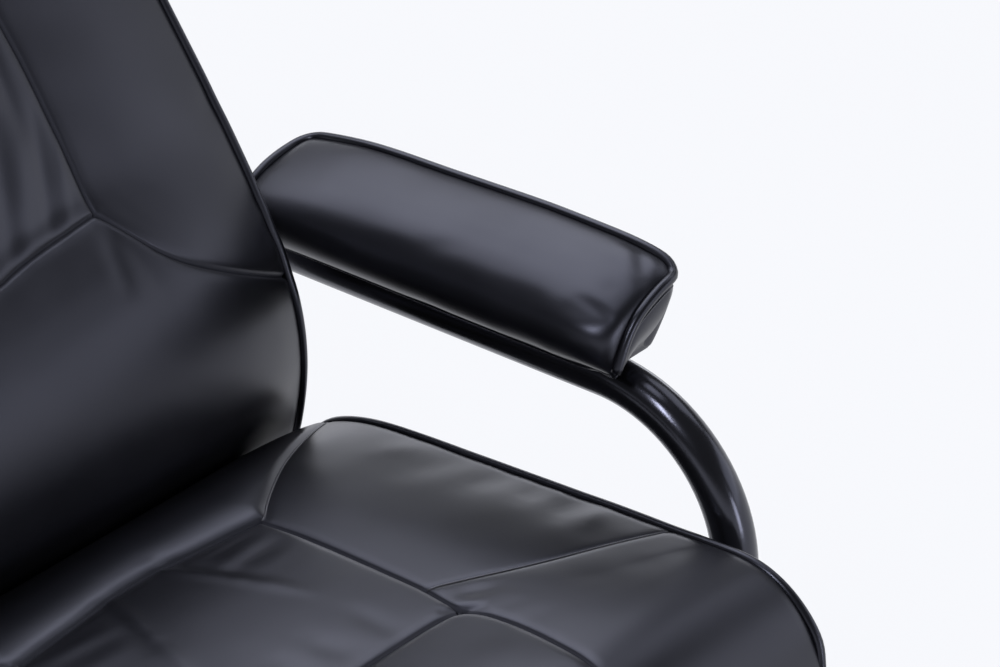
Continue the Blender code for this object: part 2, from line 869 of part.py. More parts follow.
def make_pins(holder):
    inner = RAIL_X - POST_TUBE / 2 - GAP
    outer = RAIL_X + RAIL_WIDTH / 2 + 2 * GAP + BRACKET_THICK
    head = HINGE_PIN * 0.4
    profile = [
        (0, outer + head),
        (HINGE_HEAD / 2, outer + head),
        (HINGE_HEAD / 2, outer),
        (HINGE_PIN / 2, outer),
        (HINGE_PIN / 2, inner),
        (HINGE_HEAD / 2, inner),
        (HINGE_HEAD / 2, inner - head),
        (0, inner - head),
    ]
    for label, side in (("left", 1), ("right", -1)):
        name = "hinge_pin_" + label
        pin = turned(name, profile, False, 12)
        pin.location = (0, HINGE_Y, HINGE_Z)
        pin.rotation_euler = (0, side * math.pi / 2, 0)
        part(pin, holder, steel(name), smooth=False)


# Backrest

def post_line(side):
    x = side * POST_X
    low_y, low_z = back_point(0.0, POST_OFFSET)
    hinge = Vector((x, HINGE_Y, HINGE_Z))
    first = Vector((x, low_y, low_z))
    end = hinge + (hinge - first).normalized() * POST_TUBE * 0.62
    points = [end, first]
    for s in back_stations(0.0, POST_TOP)[1:]:
        y, z = back_chord(s, POST_OFFSET)
        lean_in = (POST_X - back_half(POST_TOP) * 0.84) * smooth_step(s / POST_TOP)
        points.append(Vector((x - side * lean_in, y, z)))
    return points


def make_posts(holder):
    for label, side in (("left", 1), ("right", -1)):
        name = "back_post_" + label
        post = to_mesh(tube(name, post_line(side), POST_TUBE / 2, 2))
        x = side * POST_X
        hole = rod(
            name + "_hole", HINGE_PIN / 2 + RUN_GAP, (x - POST_TUBE, HINGE_Y, HINGE_Z),
            (x + POST_TUBE, HINGE_Y, HINGE_Z),
        )
        cut(post, cutter(hole, holder))
        part(post, holder, paint(name))


def back_cross_at():
    """(y, z) of the cross bar, on the posts' line a little above the hinge."""
    low_y, low_z = back_point(0.0, POST_OFFSET)
    rise = Vector((low_y - HINGE_Y, low_z - HINGE_Z)).normalized() * BACK_CROSS_RISE
    return HINGE_Y + rise.x, HINGE_Z + rise.y


def make_back_cross(holder):
    y, z = back_cross_at()
    reach = POST_X - POST_TUBE / 2 - GAP
    bar = rod("back_cross", BACK_CROSS_TUBE / 2, (-reach, y, z), (reach, y, z))
    crank_x = STRUT_X + EYE_THICK / 2 + 0.003 + CRANK_THICK / 2
    heading = math.atan2(CRANK_Z - z, CRANK_Y - y)
    quarter = math.pi / 2
    outline = arc(y, z, BACK_CROSS_TUBE * 0.8, heading + quarter, heading + 3 * quarter, ARCS)
    outline += arc(CRANK_Y, CRANK_Z, CRANK_PIN, heading - quarter, heading + quarter, ARCS)
    crank = to_mesh(side_plate("crank_plate", [outline], CRANK_THICK, crank_x))
    combine(bar, cutter(crank, holder), "UNION")
    pin = rod(
        "crank_pin", CRANK_PIN / 2, (STRUT_X - EYE_THICK / 2 - 0.003, CRANK_Y, CRANK_Z),
        (crank_x, CRANK_Y, CRANK_Z), 12,
    )
    combine(bar, cutter(pin, holder), "UNION")
    part(bar, holder, paint("back_cross"), smooth=False)


def make_back_board(holder):
    front = BACK_FOAM + GAP
    board = back_panel("back_board", 0.012, POST_TOP, front, front + BACK_BOARD_THICK, 0.004)
    part(board, holder, plywood("back_board"), smooth=False)


def lumbar_seam(x):
    """Height up the edge line of the seam above the lumbar panel, across the back."""
    outward = max(0.0, (abs(x) - SEAM_X) / (BACK_HALF_LOW - SEAM_X))
    peak = LUMBAR_SEAM + LUMBAR_SEAM_PEAK * smooth_step(min(abs(x), SEAM_X) / SEAM_X)
    return blend(peak, LUMBAR_SEAM_EDGE, min(outward, 1.0))


def back_shape(i, j, k):
    outer = 1 - SEAM_X / BACK_HALF_LOW
    half = [0, 1 - outer, 1 - outer * 0.55, 1 - outer * 0.13, 1.0]
    across = [-u for u in reversed(half[1:])] + half
    u = across[i]
    seam = lumbar_seam(u * BACK_HALF_LOW)
    rows = [seam * t for t in (0.0, 0.10, 0.32, 0.62, 0.88, 1.0)]
    rows += [blend(seam, BACK_LENGTH, t) for t in (0.14, 0.38, 0.62, 0.84, 0.955, 1.0)]
    s = rows[j]
    width = back_half(s)
    if j == len(rows) - 1:
        width *= 0.88
    elif j == len(rows) - 2:
        width *= 0.965
    low = math.sin(math.pi * min(1.0, (s + 0.02) / 0.30)) ** 0.8 if s < 0.28 else 0.0
    crown = blend(BACK_CROWN, LUMBAR_CROWN, low) * (1 - abs(u) ** 3)
    crown *= smooth_step(s / 0.085) * min(1.0, (BACK_LENGTH - s) / 0.06 + 0.15)
    seam_line = j == 5 or (abs(abs(u) - (1 - outer)) < 0.001 and j >= 5)
    if seam_line and 0 < i < len(across) - 1:
        crown -= SEAM_DEPTH
    deep = COVER_OFFSET + BACK_COVER_THICK * 0.3
    behind = (deep, deep * 0.72, deep * 0.14, -crown)[k]
    draw = (0.985, 1.004, 1.006, 0.998)[k]
    y, z = back_point(s, behind)
    return Vector((u * width * draw, y, z))


def back_room(holder):
    """The hollow in the foam for the posts and the board, open below and at the rear."""
    room = back_panel(
        "back_room", -0.030, POST_TOP + 0.014, BACK_FOAM, COVER_OFFSET + 0.06, 0.0
    )
    return cutter(room, holder)


def make_back_cushion(holder, pockets):
    cushion = soft_form("back_cushion", 8, 11, 3, back_shape)
    cut(cushion, back_room(holder))
    for pocket in pockets:
        cut(cushion, pocket)
    part(cushion, holder, leather("back_cushion"))


def cover_shape(i, j, k):
    """Cage of the rear cover: flat against the posts, crowned to the rear."""
    stations = back_stations(0.004, POST_TOP + 0.012)
    s = stations[j]
    u = i / 2 - 1
    half = back_inside(s) - 0.001
    behind = COVER_OFFSET + GAP
    if k == 1:
        up = s / stations[-1]
        crown = BACK_COVER_CROWN * (1 - abs(u) ** 3) * (1 - (2 * up - 1) ** 4)
        behind = COVER_OFFSET + BACK_COVER_THICK + crown
    return Vector((u * half, *back_chord(s, behind)))


def make_back_cover(holder):
    rows = len(back_stations(0.004, POST_TOP + 0.012)) - 1
    cover = soft_form("back_cover", 4, rows, 1, cover_shape, 0)
    part(cover, holder, leather("back_cover"))


# Gas strut

def make_strut_cylinder(holder):
    tube_body = rod(
        "strut_cylinder", STRUT_TUBE / 2, (STRUT_X, STRUT_FRONT, STRUT_Z),
        (STRUT_X, STRUT_REAR, STRUT_Z),
    )
    lug = box(
        "strut_lug", (STRUT_X - 0.008, STRUT_FRONT + 0.002, STRUT_Z),
        (STRUT_X + 0.008, STRUT_FRONT + 0.014, CROSS_Z - GAP),
    )
    combine(tube_body, cutter(lug, holder), "UNION")
    depth = STRUT_TRAVEL + 0.062
    bore = rod(
        "strut_bore", STRUT_ROD / 2 + RUN_GAP, (STRUT_X, STRUT_REAR - depth, STRUT_Z),
        (STRUT_X, STRUT_REAR + 0.01, STRUT_Z),
    )
    cut(tube_body, cutter(bore, holder))
    part(tube_body, holder, paint("strut_cylinder"), smooth=False)


def make_strut_rod(holder):
    bar = rod(
        "strut_rod", STRUT_ROD / 2, (STRUT_X, STRUT_REAR - 0.055, STRUT_Z),
        (STRUT_X, CRANK_Y - EYE_RADIUS * 0.7, STRUT_Z),
    )
    half = EYE_THICK / 2
    eye = rod(
        "strut_eye", EYE_RADIUS, (STRUT_X - half, CRANK_Y, STRUT_Z),
        (STRUT_X + half, CRANK_Y, STRUT_Z), 20,
    )
    combine(bar, cutter(eye, holder), "UNION")
    hole = rod(
        "strut_eye_hole", CRANK_PIN / 2 + CRANK_SAG + 0.0008,
        (STRUT_X - EYE_THICK, CRANK_Y, STRUT_Z), (STRUT_X + EYE_THICK, CRANK_Y, STRUT_Z),
    )
    cut(bar, cutter(hole, holder))
    part(bar, holder, steel("strut_rod"), smooth=False)


# Recline lever

def lever_line():
    inside = RAIL_X - RAIL_WIDTH * 0.7
    points = [(-inside, LEVER_Y, LEVER_Z)]
    bend_x = LEVER_X - LEVER_BEND
    bend_y = LEVER_Y - LEVER_BEND
    for x, y in arc(bend_x, bend_y, LEVER_BEND, math.pi / 2, 0, 5):
        points.append((-x, y, LEVER_Z))
    points.append((-LEVER_X, LEVER_Y - LEVER_ARM, LEVER_Z))
    return points


def make_lever(holder):
    part(tube("recline_lever", lever_line(), LEVER_ROD / 2, 4), holder, paint("recline_lever"))


def make_grip(holder):
    half = GRIP_WIDTH / 2
    front = LEVER_Y - LEVER_ARM - 0.008
    grip = box(
        "lever_grip", (-LEVER_X - half * 0.8, front, LEVER_Z - half),
        (-LEVER_X + half * 0.55, front + GRIP_LENGTH, LEVER_Z + half),
    )
    bevel(grip, 0.0045, 3)
    room = rod(
        "grip_room", LEVER_ROD / 2 + GAP, (-LEVER_X, LEVER_Y - LEVER_ARM - GAP, LEVER_Z),
        (-LEVER_X, LEVER_Y, LEVER_Z), 12,
    )
    cut(grip, cutter(room, holder))
    part(grip, holder, plastic("lever_grip"), smooth=False)


# Massage motors

def make_motor(name, seat, holder):
    """A cup over a motor can; local z runs from the board into the foam."""
    top = MOTOR_HEIGHT
    roof = MOTOR_HEIGHT - MOTOR_WALL
    cup = turned(name, [
        (0, top),
        (MOTOR_RADIUS, top),
        (MOTOR_RADIUS, GAP),
        (MOTOR_RADIUS - MOTOR_WALL, GAP),
        (MOTOR_RADIUS - MOTOR_WALL, roof),
        (CAN_RADIUS, roof),
        (CAN_RADIUS, roof - CAN_HEIGHT),
        (SHAFT_RADIUS, roof - CAN_HEIGHT),
        (SHAFT_RADIUS, 0.002),
        (0, 0.002),
    ], False)
    cup.matrix_world = seat
    part(cup, holder, plastic(name), smooth=False)
    pocket = rod(name + "_pocket", MOTOR_RADIUS + GAP, (0, 0, -0.004), (0, 0, top + GAP))
    pocket.matrix_world = seat @ Matrix.Translation((0, 0, (top + GAP - 0.004) / 2))
    return cutter(pocket, holder)


def make_weight(name, seat, holder):
    """Eccentric half disc on the motor's shaft, hanging to -Y; its origin is on the axis."""
    outline = arc(0, 0, WEIGHT_RADIUS, -math.pi, 0, 12)
    outline += arc(0, 0, SHAFT_RADIUS * 2.4, 0, math.pi, 6)
    hole = circle(0, 0, SHAFT_RADIUS + RUN_GAP, 10)
    weight = plate(name, [outline, hole], WEIGHT_THICK)
    middle = (MOTOR_HEIGHT - MOTOR_WALL - CAN_HEIGHT) / 2 + 0.001
    weight.matrix_world = seat @ Matrix.Translation((0, 0, middle))
    part(weight, holder, steel(name))


def lumbar_seat(x):
    y, z = back_point(LUMBAR_MOTOR_S, BACK_FOAM)
    lean = back_lean(LUMBAR_MOTOR_S)
    face = Matrix.Rotation(math.pi / 2 - lean, 4, "X")
    return Matrix.Translation((x, y, z)) @ face


def make_motors(seat_holder, back_holder):
    seat_pockets = []
    back_pockets = []
    for label, side in (("left", 1), ("right", -1)):
        spot = lumbar_seat(side * LUMBAR_MOTOR_X)
        back_pockets.append(make_motor("lumbar_motor_" + label, spot, back_holder))
        make_weight("lumbar_weight_" + label, spot, back_holder)
        spot = Matrix.Translation((side * SEAT_MOTOR_X, SEAT_MOTOR_Y, BOARD_Z + BOARD_THICK))
        seat_pockets.append(make_motor("seat_motor_" + label, spot, seat_holder))
        make_weight("seat_weight_" + label, spot, seat_holder)
    return seat_pockets, back_pockets


# Control box

def make_control_box(holder):
    half = CONTROL_WIDTH / 2
    high = BOARD_Z - GAP
    case = box(
        "control_box", (CONTROL_X - half, -CONTROL_LENGTH / 2, high - CONTROL_HEIGHT),
        (CONTROL_X + half, CONTROL_LENGTH / 2, high),
    )
    bevel(case, 0.003)
    low = high - CONTROL_HEIGHT
    barrel = INLET_RADIUS * 0.72
    hole = rod(
        "inlet_hole", barrel + GAP, (CONTROL_X, 0, low - 0.01), (CONTROL_X, 0, low + 0.0125)
    )
    cut(case, cutter(hole, holder))
    part(case, holder, plastic("control_box"), smooth=False)
    inlet = turned("power_inlet", [
        (0, 0.012),
        (barrel, 0.012),
        (barrel, -GAP),
        (INLET_RADIUS, -GAP),
        (INLET_RADIUS, -0.0025),
        (INLET_BORE, -0.0025),
        (INLET_BORE, 0.008),
        (0, 0.008),
    ], False)
    inlet.location = (CONTROL_X, 0, low)
    part(inlet, holder, steel("power_inlet"), smooth=False)


# Handset

def make_pocket(holder):
    half = POCKET_WIDTH / 2
    low = Vector((-POCKET_X - POCKET_DEPTH, POCKET_Y - half, POCKET_Z))
    high = Vector((-POCKET_X, POCKET_Y + half, POCKET_Z + POCKET_HEIGHT))
    pouch = box("handset_pocket", low, high)
    bevel(pouch, POCKET_WALL * 0.8)
    wall = Vector((POCKET_WALL, POCKET_WALL, POCKET_WALL))
    room = box("pocket_room", low + wall, high - Vector((POCKET_WALL, POCKET_WALL, -0.02)))
    cut(pouch, cutter(room, holder))
    part(pouch, holder, leather("handset_pocket"), smooth=False)


def handset_face():
    """x of the handset's outer face, the one with the buttons."""
    return -POCKET_X - POCKET_DEPTH / 2 - HANDSET_DEPTH / 2


def make_handset(holder):
    half = HANDSET_WIDTH / 2
    low = POCKET_Z + POCKET_WALL + GAP
    face = handset_face()
    case = box(
        "handset_case", (face, HANDSET_Y - half, low),
        (face + HANDSET_DEPTH, HANDSET_Y + half, low + HANDSET_HEIGHT),
    )
    bevel(case, 0.005)
    for i in range(3):
        z = button_height(i)
        deep = BUTTON_INSIDE + BUTTON_TRAVEL + 0.0006
        well = rod(
            f"button_well_{i + 1}", BUTTON_RADIUS + RUN_GAP, (face - 0.01, HANDSET_Y, z),
            (face + deep, HANDSET_Y, z),
        )
        cut(case, cutter(well, holder))
    part(case, holder, plastic("handset_case"), smooth=False)


def button_height(i):
    low = POCKET_Z + POCKET_WALL + GAP
    return low + HANDSET_HEIGHT - BUTTON_TOP - BUTTON_PITCH * (2 - i)


def make_button(i, holder):
    name = ("button_mode", "button_strength", "button_power")[i]
    z = button_height(i)
    face = handset_face()
    knob = rod(
        name, BUTTON_RADIUS, (face - BUTTON_PROUD, HANDSET_Y, z),
        (face + BUTTON_INSIDE, HANDSET_Y, z),
    )
    colour = ((0.35, 0.35, 0.36), (0.35, 0.35, 0.36), (0.45, 0.04, 0.03))[i]
    part(knob, holder, make_material(name + "_plastic", colour, 0.4, 0.0), smooth=False)


# Footstool

def make_stool_post(holder):
    low = GLIDE_HEIGHT + STOOL_TUBE / 2 + SPIDER_BAR / 2 + SPIDER_RISE + GAP
    high = STOOL_SEAT_Z - BOARD_THICK - 2 * GAP
    post = turned("stool_post", [
        (0, high),
        (HUB_FLANGE * 1.5, high),
        (HUB_FLANGE * 1.5, high - PLATE_THICK),
        (STOOL_POST, high - PLATE_THICK * 1.8),
        (STOOL_POST, low + HUB_FLANGE_THICK),
        (HUB_FLANGE * 0.8, low + HUB_FLANGE_THICK),
        (HUB_FLANGE * 0.8, low),
        (0, low),
    ], False)
    post.location = (0, STOOL_Y, 0)
    part(post, holder, paint("stool_post"), smooth=False)


def make_stool_board(holder):
    half = STOOL_BOARD_WIDTH / 2
    deep = STOOL_BOARD_DEPTH / 2
    board = box(
        "stool_board", (-half, STOOL_Y - deep, STOOL_SEAT_Z - BOARD_THICK - GAP),
        (half, STOOL_Y + deep, STOOL_SEAT_Z - GAP),
    )
    part(board, holder, plywood("stool_board"), smooth=False)


def stool_shape(i, j, k):
    half = STOOL_WIDTH / 2
    across = (-half, -half * 0.88, -STOOL_SEAM_X, 0, STOOL_SEAM_X, half * 0.88, half)
    deep = STOOL_DEPTH / 2
    along = (-deep, -deep * 0.86, -deep * 0.40, 0, deep * 0.40, deep * 0.86, deep)
    x = across[i]
    y = along[j]
    crown = STOOL_CROWN * (1 - (x / half) ** 4) * (1 - (y / deep) ** 4)
    if abs(abs(x) - STOOL_SEAM_X) < 0.001 and 0 < j < 6:
        crown -= SEAM_DEPTH
    fraction = (0.0, 0.30, 0.82, 1.0)[k]
    draw = (0.955, 1.0, 1.006, 0.998)[k]
    corner = 0.985 if i in (0, 6) and j in (0, 6) else 1.0
    height = (STOOL_EDGE + (crown if k == 3 else 0.0)) * fraction
    return Vector((x * draw * corner, STOOL_Y + y * draw * corner, STOOL_SEAT_Z + height))


def make_stool_cushion(holder):
    part(soft_form("stool_cushion", 6, 6, 3, stool_shape), holder, leather("stool_cushion"))


# Assembly

def make_chair_base(holder):
    make_ring("base_ring", 0, 0, BASE_RADIUS, BASE_TUBE, holder)
    make_spider("base_spider", 0, BASE_RADIUS, BASE_TUBE, holder)
    make_glides("base", 0, BASE_RADIUS, BASE_TUBE, holder)
    make_hub(holder)
    make_bush(holder)


def make_seat(holder):
    make_column(holder)
    make_plate(holder)
    make_crosses(holder)
    make_rails(holder)
    make_seat_board(holder)
    for label, side in (("left", 1), ("right", -1)):
        make_arm_tube(side, label, holder)
        room = make_arm_board(side, label, holder)
        make_arm_pad(side, label, room, holder)
    make_brackets(holder)
    make_pins(holder)
    make_strut_cylinder(holder)
    make_control_box(holder)
    make_pocket(holder)


def make_back(holder):
    make_posts(holder)
    make_back_cross(holder)
    make_back_board(holder)
    make_back_cover(holder)


def make_stool(holder):
    make_ring("stool_ring", 0, STOOL_Y, STOOL_RADIUS, STOOL_TUBE, holder)
    make_spider("stool_spider", STOOL_Y, STOOL_RADIUS, STOOL_TUBE, holder)
    make_glides("stool", STOOL_Y, STOOL_RADIUS, STOOL_TUBE, holder)
    make_stool_post(holder)
    make_stool_board(holder)
    make_stool_cushion(holder)


def centre_layout(layout):
    """Moves everything along Y so that the middle of the whole box stands at y = 0."""
    bpy.context.view_layer.update()
    graph = bpy.context.evaluated_depsgraph_get()
    found = []
    for obj in PARTS.objects:
        shape = obj.evaluated_get(graph)
        mesh = shape.to_mesh()
        found += [(obj.matrix_world @ vert.co).y for vert in mesh.vertices]
        shape.to_mesh_clear()
    layout.location.y -= (min(found) + max(found)) / 2
    return layout.location.y


clear_scene()
PARTS = make_collection("massage_recliner_with_footstool")
GUIDES = make_collection("guides")

layout = body("layout", 0, 0, 0)
seat_body = body("seat_axis", 0, 0, 0, layout)
back_body = body("back_axis", 0, HINGE_Y, HINGE_Z, seat_body)
rod_body = body("strut_rod_axis", STRUT_X, CRANK_Y, STRUT_Z, seat_body)
lever_body = body("lever_axis", -RAIL_X, LEVER_Y, LEVER_Z, seat_body)
handset_body = body("handset_axis", handset_face(), HANDSET_Y, POCKET_Z, seat_body)
stool_body = body("stool_axis", 0, STOOL_Y, 0, layout)

make_chair_base(layout)
make_seat(seat_body)
make_back(back_body)
seat_rooms, back_rooms = make_motors(seat_body, back_body)
make_seat_cushion(seat_body, seat_rooms)
make_back_cushion(back_body, back_rooms)
make_strut_rod(rod_body)
make_lever(lever_body)
make_grip(lever_body)
make_handset(handset_body)
for number in range(3):
    make_button(number, handset_body)
make_stool(stool_body)
shift = centre_layout(layout)
print("layout moved along Y by", round(shift, 6))
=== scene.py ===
# %% [markdown]
# # A massage recliner with its footstool
# The chair's solids are finished and packed, so this lesson dresses them. The steel frame keeps
# its solids or gets smoother twins, and every cushion is sewn anew: a block is laid out along its
# seams, blown up by a cloth simulation, drawn in along the seams and edged with piping.

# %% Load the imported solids
import json
import math

import bmesh
import bpy
import numpy as np
from mathutils import Matrix, Vector, kdtree

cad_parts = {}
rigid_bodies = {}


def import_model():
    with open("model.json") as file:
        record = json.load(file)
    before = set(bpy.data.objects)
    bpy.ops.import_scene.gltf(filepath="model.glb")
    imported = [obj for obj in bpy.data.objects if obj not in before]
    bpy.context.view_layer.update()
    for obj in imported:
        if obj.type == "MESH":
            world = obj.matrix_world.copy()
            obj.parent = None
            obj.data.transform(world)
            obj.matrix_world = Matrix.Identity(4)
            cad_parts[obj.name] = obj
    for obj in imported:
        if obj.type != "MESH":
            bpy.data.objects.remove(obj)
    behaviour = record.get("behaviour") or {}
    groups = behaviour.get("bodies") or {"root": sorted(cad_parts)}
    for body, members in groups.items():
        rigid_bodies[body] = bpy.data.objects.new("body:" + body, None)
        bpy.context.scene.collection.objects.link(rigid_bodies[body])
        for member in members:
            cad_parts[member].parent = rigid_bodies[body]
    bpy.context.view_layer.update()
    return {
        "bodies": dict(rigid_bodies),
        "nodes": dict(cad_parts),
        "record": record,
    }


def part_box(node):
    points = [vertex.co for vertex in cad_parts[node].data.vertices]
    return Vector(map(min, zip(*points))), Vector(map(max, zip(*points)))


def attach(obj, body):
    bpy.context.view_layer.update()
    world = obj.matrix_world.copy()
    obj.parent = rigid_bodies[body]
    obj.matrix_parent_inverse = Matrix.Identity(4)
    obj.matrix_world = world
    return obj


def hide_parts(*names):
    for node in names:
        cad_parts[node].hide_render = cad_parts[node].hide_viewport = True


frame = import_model()
NODES = frame["nodes"]
kept = set(NODES.values()) | set(frame["bodies"].values())
for stray in [obj for obj in bpy.data.objects if obj not in kept]:
    bpy.data.objects.remove(stray, do_unlink=True)
ring_low, ring_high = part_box("base_ring")
AXIS_Y = (ring_low.y + ring_high.y) / 2
print("solids", len(NODES), "swivel axis at y", round(AXIS_Y, 4))

# %% [markdown]
# The picture is a close view of the left arm, from the sitter's right front and from above. A long
# lens keeps the lines almost parallel, as a product photographer would. The camera is placed by
# its turn, its height angle and its distance from one point on the arm.

# %% Camera
TARGET = Vector((0.345, AXIS_Y + 0.030, 0.552896))
TURN = math.radians(-50.5)
RISE = math.radians(29)
DISTANCE = 2.5
LENS = 116.845
SENSOR = 36

eye = Vector((math.sin(TURN) * math.cos(RISE), -math.cos(TURN) * math.cos(RISE), math.sin(RISE)))
lens = bpy.data.cameras.new("arm_view")
lens.lens = LENS
lens.sensor_width = SENSOR
lens.sensor_fit = "HORIZONTAL"
camera = bpy.data.objects.new("arm_view", lens)
camera.location = TARGET + eye * DISTANCE
camera.rotation_mode = "QUATERNION"
camera.rotation_quaternion = (-eye).to_track_quat("-Z", "Y")
bpy.context.scene.collection.objects.link(camera)
bpy.context.scene.camera = camera
bpy.context.scene.view_settings.view_transform = "Standard"
print("camera at", [round(c, 3) for c in camera.location])

# %% [markdown]
# A studio for black leather is a white room: the leather shows its shape by what it mirrors. So the
# world is white for the eye and for reflections, and softer for plain light. The white is a wall
# that fades to a dimmer ceiling.

# %% Studio: room
WHITE = (0.955, 0.965, 1.0, 1.0)
AMBIENT = 0.28
WALL_TOP = 0.05
CEILING = 0.32
CEILING_GLOW = 0.08


def seen_directly(tree):
    """A value that is 1 for the eye, for mirror rays and through glass."""
    path = tree.nodes.new("ShaderNodeLightPath")
    first = tree.nodes.new("ShaderNodeMath")
    first.operation = "MAXIMUM"
    tree.links.new(path.outputs["Is Camera Ray"], first.inputs[0])
    tree.links.new(path.outputs["Is Glossy Ray"], first.inputs[1])
    last = tree.nodes.new("ShaderNodeMath")
    last.operation = "MAXIMUM"
    tree.links.new(first.outputs[0], last.inputs[0])
    tree.links.new(path.outputs["Is Transmission Ray"], last.inputs[1])
    return last.outputs[0]


def make_world():
    world = bpy.data.worlds.new("white_room")
    bpy.context.scene.world = world
    world.use_nodes = True
    tree = world.node_tree
    tree.nodes.clear()
    plain = tree.nodes.new("ShaderNodeBackground")
    plain.inputs["Color"].default_value = (1.0, 1.0, 1.0, 1.0)
    plain.inputs["Strength"].default_value = AMBIENT
    shown = tree.nodes.new("ShaderNodeBackground")
    shown.inputs["Color"].default_value = WHITE
    where = tree.nodes.new("ShaderNodeTexCoord")
    split = tree.nodes.new("ShaderNodeSeparateXYZ")
    tree.links.new(where.outputs["Generated"], split.inputs[0])
    fade = tree.nodes.new("ShaderNodeMapRange")
    fade.interpolation_type = "SMOOTHSTEP"
    fade.inputs["From Min"].default_value = WALL_TOP
    fade.inputs["From Max"].default_value = CEILING
    fade.inputs["To Min"].default_value = 1.0
    fade.inputs["To Max"].default_value = CEILING_GLOW
    tree.links.new(split.outputs["Z"], fade.inputs["Value"])
    tree.links.new(fade.outputs["Result"], shown.inputs["Strength"])
    both = tree.nodes.new("ShaderNodeMixShader")
    tree.links.new(seen_directly(tree), both.inputs["Fac"])
    tree.links.new(plain.outputs[0], both.inputs[1])
    tree.links.new(shown.outputs[0], both.inputs[2])
    out = tree.nodes.new("ShaderNodeOutputWorld")
    tree.links.new(both.outputs[0], out.inputs["Surface"])


make_world()
print("room", bpy.context.scene.world.name, "plain light", AMBIENT)

# %% [markdown]
# The floor is white as well. Near the chair it mixes in enough plain light to keep the chair's
# shadow, and far out it turns as white as the wall, so no horizon shows.

# %% Studio: floor
FLOOR_GLOW = 0.92
FLOOR_NEAR = 1.8
FLOOR_FAR = 5.0
FLOOR_SIZE = 12
FLOOR_PAINT = (0.72, 0.725, 0.74, 1.0)


def make_floor():
    bm = bmesh.new()
    bmesh.ops.create_grid(bm, x_segments=1, y_segments=1, size=FLOOR_SIZE)
    mesh = bpy.data.meshes.new("studio_floor")
    bm.to_mesh(mesh)
    bm.free()
    floor = bpy.data.objects.new("studio_floor", mesh)
    bpy.context.scene.collection.objects.link(floor)
    material = bpy.data.materials.new("studio_white")
    material.use_nodes = True
    tree = material.node_tree
    tree.nodes.clear()
    matt = tree.nodes.new("ShaderNodeBsdfDiffuse")
    matt.inputs["Color"].default_value = FLOOR_PAINT
    glow = tree.nodes.new("ShaderNodeEmission")
    glow.inputs["Color"].default_value = WHITE
    where = tree.nodes.new("ShaderNodeTexCoord")
    away = tree.nodes.new("ShaderNodeVectorMath")
    away.operation = "LENGTH"
    tree.links.new(where.outputs["Object"], away.inputs[0])
    rise = tree.nodes.new("ShaderNodeMapRange")
    rise.interpolation_type = "SMOOTHSTEP"
    rise.inputs["From Min"].default_value = FLOOR_NEAR
    rise.inputs["From Max"].default_value = FLOOR_FAR
    rise.inputs["To Min"].default_value = FLOOR_GLOW
    rise.inputs["To Max"].default_value = 1.0
    tree.links.new(away.outputs["Value"], rise.inputs["Value"])
    share = tree.nodes.new("ShaderNodeMath")
    share.operation = "MULTIPLY"
    tree.links.new(rise.outputs["Result"], share.inputs[1])
    tree.links.new(seen_directly(tree), share.inputs[0])
    both = tree.nodes.new("ShaderNodeMixShader")
    tree.links.new(share.outputs[0], both.inputs["Fac"])
    tree.links.new(matt.outputs[0], both.inputs[1])
    tree.links.new(glow.outputs[0], both.inputs[2])
    out = tree.nodes.new("ShaderNodeOutputMaterial")
    tree.links.new(both.outputs[0], out.inputs["Surface"])
    mesh.materials.append(material)


make_floor()
print("floor", FLOOR_SIZE, "m from its middle to an edge")

# %% [markdown]
# Wide lamps give the broad highlights along the cushion tops: one above the rear for the arm pads,
# low ones for the edges and the back, and a small one for the streak on the bent tube. Each lamp
# is aimed at a spot, and a table keeps them side by side.

# %% Studio: lamps
LAMP_TINT = (0.90, 0.92, 1.0)
PAD_SPOT = Vector((0.345, AXIS_Y + 0.1, 0.62))
LAMPS = [
    # name, place, aim, (width, height), watts
    ("rear_softbox", PAD_SPOT + Vector((0.65, 1.19, 1.95)), PAD_SPOT, (2.4, 1.7), 40),
    ("rear_wall", PAD_SPOT + Vector((2.30, 1.89, 0.22)), PAD_SPOT, (3.6, 0.7), 13),
    ("front_wall", PAD_SPOT + Vector((1.90, -2.30, 0.85)), PAD_SPOT, (3.0, 1.2), 15),
    ("front_softbox", (0.36, AXIS_Y - 2.9, 0.72), (0.345, AXIS_Y, 0.5), (0.6, 0.9), 12),
    ("right_softbox", PAD_SPOT + Vector((1.70, -0.50, 1.80)), PAD_SPOT, (1.4, 1.4), 8),
    ("top_softbox", (0.345, AXIS_Y + 0.15, 2.9), (0.345, AXIS_Y, 0.4), (0.9, 1.3), 8),
    (
        "tube_flash", (-1.345, AXIS_Y - 0.45, 2.39), (0.345, AXIS_Y - 0.11, 0.55), (0.25, 0.7), 20,
    ),
]


def softbox(name, place, aim, size, power):
    light = bpy.data.lights.new(name, "AREA")
    light.shape = "RECTANGLE"
    light.size, light.size_y = size
    light.energy = power
    light.color = LAMP_TINT
    lamp = bpy.data.objects.new(name, light)
    lamp.location = place
    lamp.visible_camera = False
    lamp.rotation_euler = (Vector(aim) - Vector(place)).to_track_quat("-Z", "Y").to_euler()
    bpy.context.scene.collection.objects.link(lamp)


for lamp_row in LAMPS:
    softbox(*lamp_row)

# %% [markdown]
# Surface effects that several finishes share are node groups: fine pebbled grain, slow drifts of
# tone from handling, and the faint waviness of sprayed paint. A group gives out only values that
# change over the surface, and each finish sets its own strengths. All of them read Object
# coordinates, which are metres here, so a scale of 900 means marks about a millimetre wide.

# %% Shared surface effects


